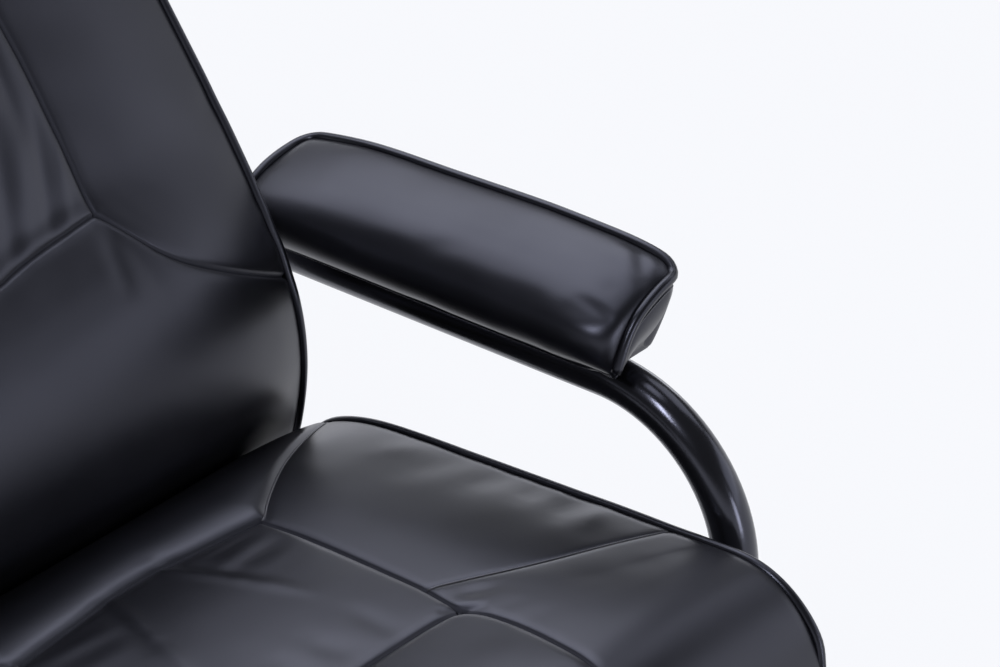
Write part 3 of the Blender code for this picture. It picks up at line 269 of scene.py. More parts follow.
def new_group(name, inputs, outputs):
    group = bpy.data.node_groups.new(name, "ShaderNodeTree")
    for label, value in inputs:
        socket = group.interface.new_socket(label, in_out="INPUT", socket_type="NodeSocketFloat")
        socket.default_value = value
    for label in outputs:
        group.interface.new_socket(label, in_out="OUTPUT", socket_type="NodeSocketFloat")
    start = group.nodes.new("NodeGroupInput")
    end = group.nodes.new("NodeGroupOutput")
    where = group.nodes.new("ShaderNodeTexCoord").outputs["Object"]
    return group, start, end, where


def scaled(group, value, factor):
    node = group.nodes.new("ShaderNodeMath")
    node.operation = "MULTIPLY"
    group.links.new(value, node.inputs[0])
    if isinstance(factor, float):
        node.inputs[1].default_value = factor
    else:
        group.links.new(factor, node.inputs[1])
    return node.outputs[0]


def summed(group, first, second):
    node = group.nodes.new("ShaderNodeMath")
    node.operation = "ADD"
    group.links.new(first, node.inputs[0])
    group.links.new(second, node.inputs[1])
    return node.outputs[0]


def pebble_group():
    """Leather grain: rounded cells with finer crumbs on them."""
    group, start, end, where = new_group("pebbled_grain", [("Cells per metre", 900.0)], ["Height"])
    cells = group.nodes.new("ShaderNodeTexVoronoi")
    cells.feature = "SMOOTH_F1"
    cells.inputs["Smoothness"].default_value = 0.6
    group.links.new(where, cells.inputs["Vector"])
    group.links.new(start.outputs[0], cells.inputs["Scale"])
    crumbs = group.nodes.new("ShaderNodeTexNoise")
    crumbs.inputs["Detail"].default_value = 2.0
    group.links.new(where, crumbs.inputs["Vector"])
    group.links.new(scaled(group, start.outputs[0], 2.4), crumbs.inputs["Scale"])
    height = summed(group, cells.outputs["Distance"], scaled(group, crumbs.outputs["Fac"], 0.35))
    group.links.new(height, end.inputs["Height"])
    return group


def drift_group():
    """Slow drifts of tone, from 0 to 1, as handling and light wear leave."""
    group, start, end, where = new_group("handling_drift", [("Drifts per metre", 7.0)], ["Drift"])
    slow = group.nodes.new("ShaderNodeTexNoise")
    slow.inputs["Detail"].default_value = 3.0
    slow.inputs["Roughness"].default_value = 0.55
    group.links.new(where, slow.inputs["Vector"])
    group.links.new(start.outputs[0], slow.inputs["Scale"])
    spread = group.nodes.new("ShaderNodeMapRange")
    spread.inputs["From Min"].default_value = 0.32
    spread.inputs["From Max"].default_value = 0.68
    group.links.new(slow.outputs["Fac"], spread.inputs["Value"])
    group.links.new(spread.outputs["Result"], end.inputs["Drift"])
    return group


def speckle_group():
    """Fine even bumps: moulded plastic skins and the waviness of paint."""
    group, start, end, where = new_group("fine_speckle", [("Specks per metre", 1500.0)], ["Height"])
    fine = group.nodes.new("ShaderNodeTexNoise")
    fine.inputs["Detail"].default_value = 1.0
    group.links.new(where, fine.inputs["Vector"])
    group.links.new(start.outputs[0], fine.inputs["Scale"])
    group.links.new(fine.outputs["Fac"], end.inputs["Height"])
    return group


PEBBLE = pebble_group()
DRIFT = drift_group()
SPECKLE = speckle_group()
print("groups", [group.name for group in bpy.data.node_groups])

# %% [markdown]
# Each finish is one Principled shader. Its even values sit on the shader itself; the groups only
# drive roughness, tone and bump. The leather is a coated faux leather: near black, satin, with a
# very fine grain. The tube is satin black paint, the boards are stained plywood, and the small
# parts are moulded plastic, nylon and bright steel.

# %% Finishes: helpers
COOL_SHEEN = (0.78, 0.80, 1.0, 1.0)


def finish(name, metallic=0.0, specular=0.5):
    material = bpy.data.materials.new(name)
    material.use_nodes = True
    shader = material.node_tree.nodes["Principled BSDF"]
    shader.inputs["Metallic"].default_value = metallic
    shader.inputs["Specular IOR Level"].default_value = specular
    shader.inputs["Specular Tint"].default_value = COOL_SHEEN
    return material, material.node_tree, shader


def effect(tree, group, value):
    node = tree.nodes.new("ShaderNodeGroup")
    node.node_tree = group
    node.inputs[0].default_value = value
    return node.outputs[0]


def between(tree, mask, low, high, socket):
    """Sends a value from low to high, by the mask, to a socket."""
    node = tree.nodes.new("ShaderNodeMapRange")
    node.inputs["To Min"].default_value = low
    node.inputs["To Max"].default_value = high
    tree.links.new(mask, node.inputs["Value"])
    tree.links.new(node.outputs["Result"], socket)


def tint(tree, mask, low, high, socket):
    """Sends a colour from low to high, by the mask, to a socket."""
    node = tree.nodes.new("ShaderNodeValToRGB")
    node.color_ramp.elements[0].color = (*low, 1.0)
    node.color_ramp.elements[1].color = (*high, 1.0)
    tree.links.new(mask, node.inputs["Fac"])
    tree.links.new(node.outputs["Color"], socket)


def bumps(tree, shader, height, strength, depth):
    node = tree.nodes.new("ShaderNodeBump")
    node.inputs["Strength"].default_value = strength
    node.inputs["Distance"].default_value = depth
    tree.links.new(height, node.inputs["Height"])
    tree.links.new(node.outputs["Normal"], shader.inputs["Normal"])


print("finish helpers ready")

# %% [markdown]
# A finish recipe sets what its material does, and the colours come last. The leather reads a crease
# attribute, which the seat, back and footstool covers carry near their seams: a real seam is a dull
# dark line, because the leather there is turned in and catches little light.

# %% Finishes: recipes
LEATHER_SHEEN = 0.60
PAINT_SHEEN = 0.75
CREASE_DULL = 0.55


def leather(name, low, high, smooth, rough, grain):
    """Grained leather that turns dull where a piece's own crease attribute marks a seam."""
    material, tree, shader = finish(name, specular=LEATHER_SHEEN)
    drift = effect(tree, DRIFT, 9.0)
    tint(tree, drift, low, high, shader.inputs["Base Color"])
    crease = tree.nodes.new("ShaderNodeAttribute")
    crease.attribute_name = "crease"
    total = tree.nodes.new("ShaderNodeMath")
    total.operation = "ADD"
    between(tree, drift, smooth, rough, total.inputs[0])
    between(tree, crease.outputs["Fac"], 0.0, CREASE_DULL, total.inputs[1])
    tree.links.new(total.outputs[0], shader.inputs["Roughness"])
    bumps(tree, shader, effect(tree, PEBBLE, 850.0), grain, 0.0002)
    return material


def paint(name, low, high, smooth, rough):
    material, tree, shader = finish(name, specular=PAINT_SHEEN)
    drift = effect(tree, DRIFT, 14.0)
    tint(tree, drift, low, high, shader.inputs["Base Color"])
    between(tree, drift, smooth, rough, shader.inputs["Roughness"])
    bumps(tree, shader, effect(tree, SPECKLE, 260.0), 0.05, 0.0004)
    return material


def plastic(name, low, high, rough, specks=1500.0):
    material, tree, shader = finish(name)
    drift = effect(tree, DRIFT, 22.0)
    tint(tree, drift, low, high, shader.inputs["Base Color"])
    between(tree, drift, rough - 0.05, rough + 0.06, shader.inputs["Roughness"])
    bumps(tree, shader, effect(tree, SPECKLE, specks), 0.18, 0.0002)
    return material


def drawn_steel(name):
    """Steel with fine lines round or along it."""
    material, tree, shader = finish(name, metallic=1.0)
    drift = effect(tree, DRIFT, 30.0)
    tint(tree, drift, (0.42, 0.42, 0.43), (0.52, 0.52, 0.53), shader.inputs["Base Color"])
    between(tree, drift, 0.24, 0.38, shader.inputs["Roughness"])
    where = tree.nodes.new("ShaderNodeTexCoord").outputs["Object"]
    stretch = tree.nodes.new("ShaderNodeMapping")
    stretch.inputs["Scale"].default_value = (2200.0, 2200.0, 90.0)
    tree.links.new(where, stretch.inputs["Vector"])
    lines = tree.nodes.new("ShaderNodeTexNoise")
    lines.inputs["Scale"].default_value = 1.0
    tree.links.new(stretch.outputs["Vector"], lines.inputs["Vector"])
    bumps(tree, shader, lines.outputs["Fac"], 0.08, 0.0001)
    return material


def plywood(name):
    """Black-stained veneers: grain runs from side to side, with plies stacked in height."""
    material, tree, shader = finish(name)
    where = tree.nodes.new("ShaderNodeTexCoord").outputs["Object"]
    stretch = tree.nodes.new("ShaderNodeMapping")
    stretch.inputs["Scale"].default_value = (9.0, 160.0, 620.0)
    tree.links.new(where, stretch.inputs["Vector"])
    grain = tree.nodes.new("ShaderNodeTexNoise")
    grain.inputs["Scale"].default_value = 1.0
    grain.inputs["Detail"].default_value = 5.0
    tree.links.new(stretch.outputs["Vector"], grain.inputs["Vector"])
    dark, light = (0.008, 0.007, 0.006), (0.030, 0.025, 0.021)
    tint(tree, grain.outputs["Fac"], dark, light, shader.inputs["Base Color"])
    between(tree, grain.outputs["Fac"], 0.52, 0.72, shader.inputs["Roughness"])
    bumps(tree, shader, grain.outputs["Fac"], 0.12, 0.0004)
    return material


print("recipes ready")

# %% [markdown]
# Here are the finishes themselves. Each gets a dark and a light tone and its range of roughness. A
# table then names the finish for each material slot of the solids.

# %% Finishes: the list
LEATHER = leather(
    "black_leather", (0.0024, 0.0024, 0.0030), (0.0040, 0.0040, 0.0052), 0.34, 0.40, 0.08
)
# The seam lips are coloured lighter than the leather: a painted highlight of a turned edge.
PAINTED_LIP_HIGHLIGHT = leather(
    "seam_lip_painted_highlight", (0.040, 0.040, 0.043), (0.085, 0.085, 0.090), 0.42, 0.50, 0.05
)
# The piping is a shade darker than the cover's leather: painted shade for its inner face.
PIPING_PAINTED_SHADE = leather(
    "piping_leather_painted_shade", (0.0022, 0.0022, 0.0027), (0.0034, 0.0034, 0.0042), 0.30, 0.36, 0.06
)
PAINT = paint("black_satin_paint", (0.0050, 0.0050, 0.0058), (0.0075, 0.0075, 0.0085), 0.18, 0.22)
STEEL = drawn_steel("bright_drawn_steel")
PLYWOOD = plywood("stained_plywood")
BLACK_PLASTIC = plastic(
    "black_moulded_plastic", (0.020, 0.020, 0.021), (0.028, 0.028, 0.029), 0.48
)
NYLON = plastic("natural_nylon", (0.64, 0.63, 0.59), (0.72, 0.71, 0.67), 0.46, 900.0)
GREY_PLASTIC = plastic("grey_button_plastic", (0.31, 0.31, 0.32), (0.36, 0.36, 0.37), 0.36, 2000.0)
RED_PLASTIC = plastic(
    "red_button_plastic", (0.40, 0.030, 0.022), (0.47, 0.042, 0.030), 0.36, 2000.0
)
THREAD = plastic("waxed_thread", (0.012, 0.012, 0.013), (0.020, 0.020, 0.022), 0.55, 3000.0)
SLOT_FINISH = {
    "leather": LEATHER, "black_paint": PAINT, "bright_steel": STEEL, "plywood": PLYWOOD,
    "black_plastic": BLACK_PLASTIC, "nylon": NYLON, "grey_plastic": GREY_PLASTIC,
    "red_plastic": RED_PLASTIC,
}
print("finishes", len(SLOT_FINISH), "by slot, and", [m.name for m in (PAINTED_LIP_HIGHLIGHT, PIPING_PAINTED_SHADE, THREAD)])

# %% [markdown]
# Before any piece is made, a few helpers: a mesh becomes an object in the scene, and each new piece
# is dressed with its finish and rides on its body.

# %% Helpers for every piece


def mix(a, b, t):
    return a + (b - a) * t


def ease(t):
    t = min(max(t, 0.0), 1.0)
    return t * t * (3 - 2 * t)


def to_object(name, bm):
    bmesh.ops.recalc_face_normals(bm, faces=bm.faces)
    if bm.calc_volume(signed=True) < 0:
        bmesh.ops.reverse_faces(bm, faces=bm.faces)
    mesh = bpy.data.meshes.new(name)
    bm.to_mesh(mesh)
    bm.free()
    mesh.shade_smooth()
    obj = bpy.data.objects.new(name, mesh)
    bpy.context.scene.collection.objects.link(obj)
    return obj


def dress(obj, material, body, slot, *replaced):
    obj.data.materials.clear()
    obj.data.materials.append(material)
    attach(obj, body)
    if replaced:
        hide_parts(*replaced)
    return obj


def apply_step(obj, step):
    bpy.context.view_layer.update()
    with bpy.context.temp_override(object=obj, active_object=obj, selected_objects=[obj]):
        bpy.ops.object.modifier_apply(modifier=step.name)


def points_of(mesh, field="co"):
    flat = np.empty(len(mesh.vertices) * 3, np.float32)
    mesh.vertices.foreach_get(field, flat)
    return flat.reshape(-1, 3).astype(float)


def set_points(mesh, points):
    mesh.vertices.foreach_set("co", points.astype(np.float32).ravel())
    mesh.update()


print("helpers ready")

# %% [markdown]
# A sewn cushion is laid out as a block: a flat grid is the bottom, a copy is the top, and the top's
# rim is extruded down until it meets the bottom. Every grid line can then follow a seam, which a
# voxel remesh would lose. The lines stand closer together next to a seam, where the leather bends
# most.

# %% Blocks laid out along their seams


def spaced(count, dense="both"):
    """Steps from 0 to 1 that stand closer together at the sewn ends."""
    found = []
    for n in range(count + 1):
        t = n / count
        if dense == "both":
            t -= 0.62 * math.sin(2 * math.pi * t) / (2 * math.pi)
        elif dense == "end":
            t = 1 - (0.42 * (1 - t) + 0.58 * (1 - t) ** 2)
        found.append(t)
    return found


def sew_block(name, columns, rows, levels, place):
    """A closed block of columns x rows x levels; place(i, j, k) sets each point."""
    bm = bmesh.new()
    bmesh.ops.create_grid(bm, x_segments=columns, y_segments=rows, size=0.5)
    bmesh.ops.scale(bm, vec=(columns, rows, 1.0), verts=bm.verts)
    bmesh.ops.translate(bm, vec=(columns / 2, rows / 2, 0.0), verts=bm.verts)
    copied = bmesh.ops.duplicate(bm, geom=bm.verts[:] + bm.edges[:] + bm.faces[:])["geom"]
    top = [g for g in copied if isinstance(g, bmesh.types.BMVert)]
    bmesh.ops.translate(bm, vec=(0, 0, levels), verts=top)
    rim = [g for g in copied if isinstance(g, bmesh.types.BMEdge) and g.is_boundary]
    for _ in range(levels):
        made = bmesh.ops.extrude_edge_only(bm, edges=rim)["geom"]
        lower = [g for g in made if isinstance(g, bmesh.types.BMVert)]
        bmesh.ops.translate(bm, vec=(0, 0, -1), verts=lower)
        rim = [g for g in made if isinstance(g, bmesh.types.BMEdge) and g.is_boundary]
    bmesh.ops.remove_doubles(bm, verts=bm.verts, dist=0.01)
    bm.verts.index_update()
    spots = np.array([[round(c) for c in vert.co] for vert in bm.verts])
    for vert, spot in zip(bm.verts, spots):
        vert.co = place(*(int(n) for n in spot))
    return to_object(name, bm), spots


def mark(obj, name, chosen):
    group = obj.vertex_groups.new(name=name)
    group.add([int(n) for n in np.flatnonzero(chosen)], 1.0, "REPLACE")


def marked(obj, name):
    number = obj.vertex_groups[name].index
    found = np.zeros(len(obj.data.vertices))
    for vert in obj.data.vertices:
        for entry in vert.groups:
            if entry.group == number:
                found[vert.index] = entry.weight
    return found


def crease_lines(obj, chosen):
    """Keeps the lines between chosen points crisp when the block is subdivided."""
    sharp = obj.data.attributes.new("crease_edge", "FLOAT", "EDGE")
    for edge in obj.data.edges:
        if chosen[edge.vertices[0]] and chosen[edge.vertices[1]]:
            sharp.data[edge.index].value = 1.0


print("spacing sample", [round(t, 3) for t in spaced(6)])

# %% [markdown]
# The block is blown up like a real stuffed cover. Cloth with pressure swells the panels while the
# seams, the piped edges and the underside are pinned. A cap on how far a point may move keeps the
# chair's sizes. The result is written into the mesh, so no simulation is left on the piece.

# %% Stuffing by cloth simulation


def stuff(obj, caps, pressure=4.0, frames=20):
    """Swells the block with its pinned points held; returns the mean and largest move."""
    before = points_of(obj.data)
    cloth = obj.modifiers.new("stuffing", "CLOTH")
    cloth.settings.quality = 4
    cloth.settings.mass = 0.02
    cloth.settings.tension_stiffness = 20
    cloth.settings.compression_stiffness = 20
    cloth.settings.shear_stiffness = 12
    cloth.settings.bending_stiffness = 0.6
    cloth.settings.air_damping = 2.0
    cloth.settings.use_pressure = True
    cloth.settings.uniform_pressure_force = pressure
    cloth.settings.effector_weights.gravity = 0
    cloth.settings.vertex_group_mass = "pinned"
    cloth.point_cache.frame_start = 1
    cloth.point_cache.frame_end = frames
    scene = bpy.context.scene
    for number in range(1, frames + 1):
        scene.frame_set(number)
    swollen = obj.evaluated_get(bpy.context.evaluated_depsgraph_get())
    after = points_of(swollen.data)
    obj.modifiers.remove(cloth)
    scene.frame_set(1)
    move = after - before
    far = np.linalg.norm(move, axis=1)
    share = np.minimum(1.0, caps / np.maximum(far, 1e-9))
    set_points(obj.data, before + move * share[:, None])
    return float(far.mean()), float(far.max())


def soften(obj, levels=2):
    step = obj.modifiers.new("soften", "SUBSURF")
    step.levels = levels
    step.render_levels = levels
    apply_step(obj, step)
    obj.data.shade_smooth()


# %% [markdown]
# After the stuffing, the sewing shows: the cover is drawn in along its seams, first in a soft roll
# and then in a tight crease, and small folds are pressed in. Room for hard parts inside is cut out
# of the underside with a boolean.

# %% Seams, folds and hollows
SEAM_ROLL = (0.0022, 0.011)
SEAM_CREASE = (0.0018, 0.0040)
EDGE_ROLL = (0.0028, 0.012)
LAP_ROLL = (0.0012, 0.008)
CREASE = 0.0050


def reach_of(obj, group, width):
    """1 on a marked line, falling to 0 at a width from it."""
    points = points_of(obj.data)
    line = points[marked(obj, group) > 0.999]
    tree = kdtree.KDTree(len(line))
    for n, point in enumerate(line):
        tree.insert(point, n)
    tree.balance()
    near = np.array([tree.find(point)[2] for point in points])
    return np.clip(1 - near / width, 0, 1)


def draw_in(obj, group, depth, width):
    """Pulls the cover down into its seams, with a round shoulder on each side."""
    mesh = obj.data
    dip = depth * (1 - np.sqrt(1 - reach_of(obj, group, width) ** 2))
    set_points(mesh, points_of(mesh) - points_of(mesh, "normal") * dip[:, None])


def dull_crease(obj, group, width):
    """Notes on the mesh how near each point lies to a seam, for the leather to read."""
    shade = obj.data.attributes.new("crease", "FLOAT", "POINT")
    shade.data.foreach_set("value", reach_of(obj, group, width).astype(np.float32))


def folds_on(flat, folds):
    """Height of soft folds over a flat layout; a fold is (start, end, width, height)."""
    total = np.zeros(len(flat))
    for start, end, width, height in folds:
        a = np.array(start)
        run = np.array(end) - a
        t = np.clip((flat - a) @ run / (run @ run), 0, 1)
        off = np.linalg.norm(flat - a - t[:, None] * run, axis=1)
        fade = np.sin(np.pi * np.clip(0.12 + 0.76 * t, 0, 1)) ** 0.8
        total += height * fade * np.exp(-(off / width) ** 2)
    return total


def press_folds(obj, flat, folds):
    """Raises or presses the folds into the top of a cushion."""
    points = points_of(obj.data)
    normals = points_of(obj.data, "normal")
    lift = folds_on(flat, folds) * marked(obj, "top")
    set_points(obj.data, points + normals * lift[:, None])


def hollow_out(obj, cutters):
    """Cuts room for hard parts in the underside."""
    for tool in cutters:
        step = obj.modifiers.new("room", "BOOLEAN")
        step.operation = "DIFFERENCE"
        step.solver = "EXACT"
        step.object = tool
        apply_step(obj, step)
    for tool in cutters:
        bpy.data.objects.remove(tool, do_unlink=True)


print("seam roll and crease, mm", [round(d * 1000, 1) for d in SEAM_ROLL + SEAM_CREASE])

# %% [markdown]
# Piping is a cord sewn into a strip of leather along an edge. It is a ring of points carried along
# the edge, one extrusion for each step, and closed with caps. The same sweep makes the bent steel
# tubes.

# %% Sweeping a round section


def frames_along(points):
    """A turned frame at each point that doesn't twist on the way."""
    points = [Vector(p) for p in points]
    count = len(points)
    headings = []
    for n in range(count):
        a = points[max(n - 1, 0)]
        b = points[min(n + 1, count - 1)]
        headings.append((b - a).normalized())
    turn = headings[0].to_track_quat("Z", "Y")
    found = []
    for n in range(count):
        if n:
            turn = headings[n - 1].rotation_difference(headings[n]) @ turn
        found.append(Matrix.Translation(points[n]) @ turn.to_matrix().to_4x4())
    return found


def sweep_into(bm, points, radius, sides):
    steps = frames_along(points)
    ring = bmesh.ops.create_circle(
        bm, cap_ends=False, segments=sides, radius=radius, matrix=steps[0]
    )["verts"]
    edges = list({edge for vert in ring for edge in vert.link_edges})
    first = edges
    for before, after in zip(steps, steps[1:]):
        made = bmesh.ops.extrude_edge_only(bm, edges=edges)["geom"]
        moved = [g for g in made if isinstance(g, bmesh.types.BMVert)]
        edges = [g for g in made if isinstance(g, bmesh.types.BMEdge) and g.is_boundary]
        bmesh.ops.transform(bm, matrix=after @ before.inverted(), verts=moved)
    bmesh.ops.edgeloop_fill(bm, edges=first)
    bmesh.ops.edgeloop_fill(bm, edges=edges)


def sweep(name, lines, radius, sides=12):
    """One piece of round bars or cords along one or more lines of points."""
    bm = bmesh.new()
    for points in lines:
        sweep_into(bm, points, radius, sides)
    return to_object(name, bm)


print("sweep ready")

# %% [markdown]
# Piping follows the finished cover, not the drawing. So a drawn line is cut into even steps, each
# step moves to the nearest marked point of the cover, and the line is relaxed to take out the small
# jumps between points.

# %% Lines laid on a cover
DRAWN_STEP = 0.004


def resample(points, count):
    """The same line with so many points at even steps."""
    points = np.array([tuple(p) for p in points], float)
    reach = np.concatenate([[0], np.cumsum(np.linalg.norm(np.diff(points, axis=0), axis=1))])
    at = np.linspace(0, reach[-1], count)
    return np.stack([np.interp(at, reach, points[:, c]) for c in range(points.shape[1])], 1)


def even_line(points, pitch):
    length = sum((b - a).length for a, b in zip(points, points[1:]))
    return [Vector(p) for p in resample(points, max(2, int(round(length / pitch)) + 1))]


def relax(line, rounds=2):
    """Rounds the corners of a line of points, with its ends kept."""
    for _ in range(rounds):
        line = [line[0]] + [
            (a + b * 2 + c) / 4 for a, b, c in zip(line, line[1:], line[2:])
        ] + [line[-1]]
    return line


def rim_line(place, spots):
    return [place(*spot) for spot in spots]


def line_on(obj, group, drawn, lift, pitch=0.005, rounds=2, end=None):
    """A drawn line laid on the cover: each point moves to the nearest marked one.

    The last point can be given a set place, called end.
    """
    mesh = obj.data
    points = points_of(mesh)
    normals = points_of(mesh, "normal")
    chosen = np.flatnonzero(marked(obj, group) > 0.999)
    tree = kdtree.KDTree(len(chosen))
    for n in chosen:
        tree.insert(points[n], int(n))
    tree.balance()
    found = []
    for point in even_line(drawn, DRAWN_STEP):
        n = tree.find(point)[1]
        found.append(Vector(points[n] + normals[n] * lift))
    if end is not None:
        found[-1] = end
    return even_line(relax(found, rounds), pitch)


print("drawn lines are read every", DRAWN_STEP, "m")

# %% [markdown]
# The seat is cut in panels: a roll across the rear, a centre panel, two side panels and a front
# that rolls over to the underside. The measured seams are drawn as lists of points in the seat's
# own plan (metres from the swivel axis) and the grid follows them.

# %% Seat cushion: its lines
SEAT_HALF = 0.302
SEAT_FRONT = -0.318
SEAT_REAR = 0.186
SEAT_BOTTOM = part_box("seat_cushion")[0].z
SEAT_EDGE_FRONT = 0.130
SEAT_EDGE_REAR = 0.101
SEAT_ROLL = 0.088
SEAT_NOSE = 0.13
SEAT_CROWN = 0.011
SEAT_CROWN_RUN = 0.06
SEAT_REAR_RUN = 0.080
SEAT_REAR_DROP = 0.021
SEAT_REAR_SWELL = 0.007
SEAT_SEAM = 0.118
SIDE_SEAM = [
    (-0.318, 0.107), (-0.251, 0.111), (-0.226, 0.116), (-0.195, 0.1195), (-0.170, 0.121),
    (-0.1445, 0.119), (-0.1254, 0.1125), (-0.110, 0.1141), (-0.0875, 0.1183), (-0.048, 0.1204),
    (-0.002, 0.1227), (0.039, 0.1238), (0.075, 0.1216), (0.186, 0.120),
]
REAR_SEAM = [
    (0.0, 0.0890), (0.022, 0.0889), (0.057, 0.0830), (0.092, 0.0795), (0.1216, 0.0752),
    (0.1377, 0.0883), (0.1604, 0.1034), (0.1933, 0.1237), (0.2221, 0.1378), (0.2484, 0.1500),
    (0.275, 0.1620), (0.302, 0.1740),
]
DIAGONAL_SEAM = [
    (0.0, -0.086), (0.1183, -0.0875), (0.1495, -0.1033), (0.1832, -0.1221), (0.2108, -0.1369),
    (0.242, -0.1493), (0.2812, -0.1651), (0.302, -0.1725),
]
CENTRE_SEAM = [
    (0.0, -0.1196), (0.037, -0.1205), (0.0636, -0.1208), (0.0937, -0.1225), (0.1125, -0.1254),
    (0.15, -0.1425), (0.21, -0.175), (0.302, -0.206),
]
CENTRE_STEPS = spaced(9, "end")
OUTER_STEPS = spaced(15)
ROLL_ROWS, FRONT_ROWS, WEDGE_ROWS, CENTRE_ROWS, REAR_ROWS = 10, 7, 4, 13, 8
ROLL_STEPS = [math.radians(90 * n / ROLL_ROWS) for n in range(ROLL_ROWS + 1)]
ROW_CENTRE = ROLL_ROWS + FRONT_ROWS
ROW_DIAGONAL = ROW_CENTRE + WEDGE_ROWS
ROW_REAR = ROW_DIAGONAL + CENTRE_ROWS
SEAT_ROWS = ROW_REAR + REAR_ROWS
SEAT_COLUMNS = 2 * (len(CENTRE_STEPS) + len(OUTER_STEPS) - 2)
SEAT_LEVELS = 7
print("seat grid", SEAT_COLUMNS, "x", SEAT_ROWS)

# %% [markdown]
# A point of the seat's block has a place in plan, where the grid bends along the seams, and a
# height: the front rolls down, the middle is crowned, and the lower levels draw in a little.

# %% Seat cushion: its shape
SEAT_TUCK_X = 0.020
SEAT_TUCK_Y = 0.022
SEAT_BULGE = 0.005


def read_line(line, at):
    return float(np.interp(at, [p[0] for p in line], [p[1] for p in line]))


def seat_rows(x):
    """Distances from the swivel axis of the seat's rows, where the column meets x."""
    x = abs(x)
    roll = [SEAT_FRONT + SEAT_ROLL * (1 - math.cos(a)) for a in ROLL_STEPS]
    centre = read_line(CENTRE_SEAM, x)
    diagonal = read_line(DIAGONAL_SEAM, x)
    rear = read_line(REAR_SEAM, x)
    rows = roll
    rows += [mix(roll[-1], centre, t) for t in spaced(FRONT_ROWS, "end")[1:]]
    rows += [mix(centre, diagonal, t) for t in spaced(WEDGE_ROWS)[1:]]
    rows += [mix(diagonal, rear, t) for t in spaced(CENTRE_ROWS)[1:]]
    rows += [mix(rear, SEAT_REAR, t) for t in spaced(REAR_ROWS)[1:]]
    return rows


def seat_edge(y):
    """Height of the seat's piped edge above its underside."""
    t = (y - SEAT_FRONT) / (SEAT_REAR - SEAT_FRONT)
    height = mix(SEAT_EDGE_FRONT, SEAT_EDGE_REAR, max(t, 0.0) ** 1.15)
    ahead = (SEAT_FRONT + SEAT_ROLL - y) / SEAT_ROLL
    if ahead > 0:
        height *= mix(SEAT_NOSE, 1.0, math.sqrt(max(0.0, 1 - ahead * ahead)))
    behind = (y - SEAT_REAR + SEAT_REAR_RUN) / SEAT_REAR_RUN
    if behind > 0:
        height -= SEAT_REAR_DROP * behind * behind
    return height


def seat_column(i):
    """(side, in the centre panel, share of the way out) for a column of the grid."""
    half = SEAT_COLUMNS // 2
    side = -1 if i < half else 1
    n = abs(i - half)
    if n < len(CENTRE_STEPS):
        return side, True, CENTRE_STEPS[n]
    return side, False, OUTER_STEPS[n - len(CENTRE_STEPS) + 1]


def seat_plan(i, j):
    side, centre, t = seat_column(i)
    x = SEAT_SEAM * t if centre else mix(SEAT_SEAM, SEAT_HALF, t)
    y = seat_rows(x)[j]
    seam = read_line(SIDE_SEAM, y)
    x = seam * t if centre else mix(seam, SEAT_HALF, t)
    return side * x, y


def seat_place(i, j, k):
    x, y = seat_plan(i, j)
    top = seat_edge(y)
    crown = SEAT_CROWN * (1 - (x / SEAT_HALF) ** 4)
    top += crown * min(1.0, (y - SEAT_FRONT) / SEAT_CROWN_RUN)
    if j > ROW_REAR:
        roll = math.sin(math.pi * (j - ROW_REAR) / (SEAT_ROWS - ROW_REAR)) ** 0.8
        top += SEAT_REAR_SWELL * roll * (1 - (x / SEAT_HALF) ** 6)
    f = k / SEAT_LEVELS
    pull = 1 - SEAT_TUCK_X * (1 - f) ** 2 + SEAT_BULGE * math.sin(math.pi * f)
    middle = (SEAT_FRONT + SEAT_REAR) / 2
    deep = 1 - SEAT_TUCK_Y * (1 - f) ** 2
    z = SEAT_BOTTOM + (top * f if k else 0.0)
    return Vector((x * pull, AXIS_Y + middle + (y - middle) * deep, z))


seat_ends = [round(seat_edge(y), 4) for y in (SEAT_FRONT, SEAT_REAR)]
print("seat edge at the front and the rear", seat_ends)

# %% [markdown]
# Leather gathers beside a seam and along the piping. Each gather is a short soft fold: where it
# starts and ends in plan, how wide it is, and how far it stands up or goes in.

# %% Seat cushion: its folds
SEAT_FOLDS = [
    ((0.262, -0.060), (0.292, -0.052), 0.010, -0.0012),
    ((0.258, -0.098), (0.292, -0.084), 0.011, -0.0014),
    ((0.262, -0.122), (0.294, -0.112), 0.009, 0.0011),
    ((0.250, -0.015), (0.290, -0.020), 0.012, -0.0010),
    ((0.240, 0.035), (0.290, 0.022), 0.014, -0.0010),
    ((0.255, 0.075), (0.292, 0.060), 0.012, 0.0009),
    ((0.104, -0.118), (0.122, -0.136), 0.005, -0.0022),
    ((0.126, -0.112), (0.150, -0.128), 0.008, -0.0012),
    ((-0.024, 0.088), (-0.046, 0.020), 0.0050, 0.0016),
    ((-0.046, 0.020), (-0.062, -0.030), 0.0060, 0.0011),
    ((-0.034, 0.084), (-0.058, 0.014), 0.0070, -0.0012),
    ((0.112, 0.070), (0.062, 0.066), 0.0060, -0.0005),
    ((0.112, 0.058), (0.052, 0.052), 0.0070, 0.0005),
    ((0.108, 0.044), (0.056, 0.038), 0.0070, -0.0005),
    ((0.110, 0.028), (0.070, 0.022), 0.0070, 0.0004),
    ((0.060, -0.112), (0.064, -0.070), 0.010, -0.0010),
    ((-0.020, -0.112), (-0.016, -0.076), 0.011, -0.0010),
]


def mirrored(folds):
    """The same folds on the other half, a little shifted so that the halves differ."""
    return [
        ((-start[0], start[1] + 0.006), (-end[0], end[1] + 0.004), width * 1.1, height * 0.9)
        for start, end, width, height in folds
    ]


print("seat folds", len(SEAT_FOLDS + mirrored(SEAT_FOLDS)))

# %% [markdown]
# Now the seat is sewn: the block is pinned at its seams and piped edges, stuffed, smoothed, and
# drawn in. The folds are pressed in next, and last the underside gets room for the massage motors.

# %% Seat cushion: sewing it
SEAM_START = 6
SEAT_SWELL = (0.008, 0.003)


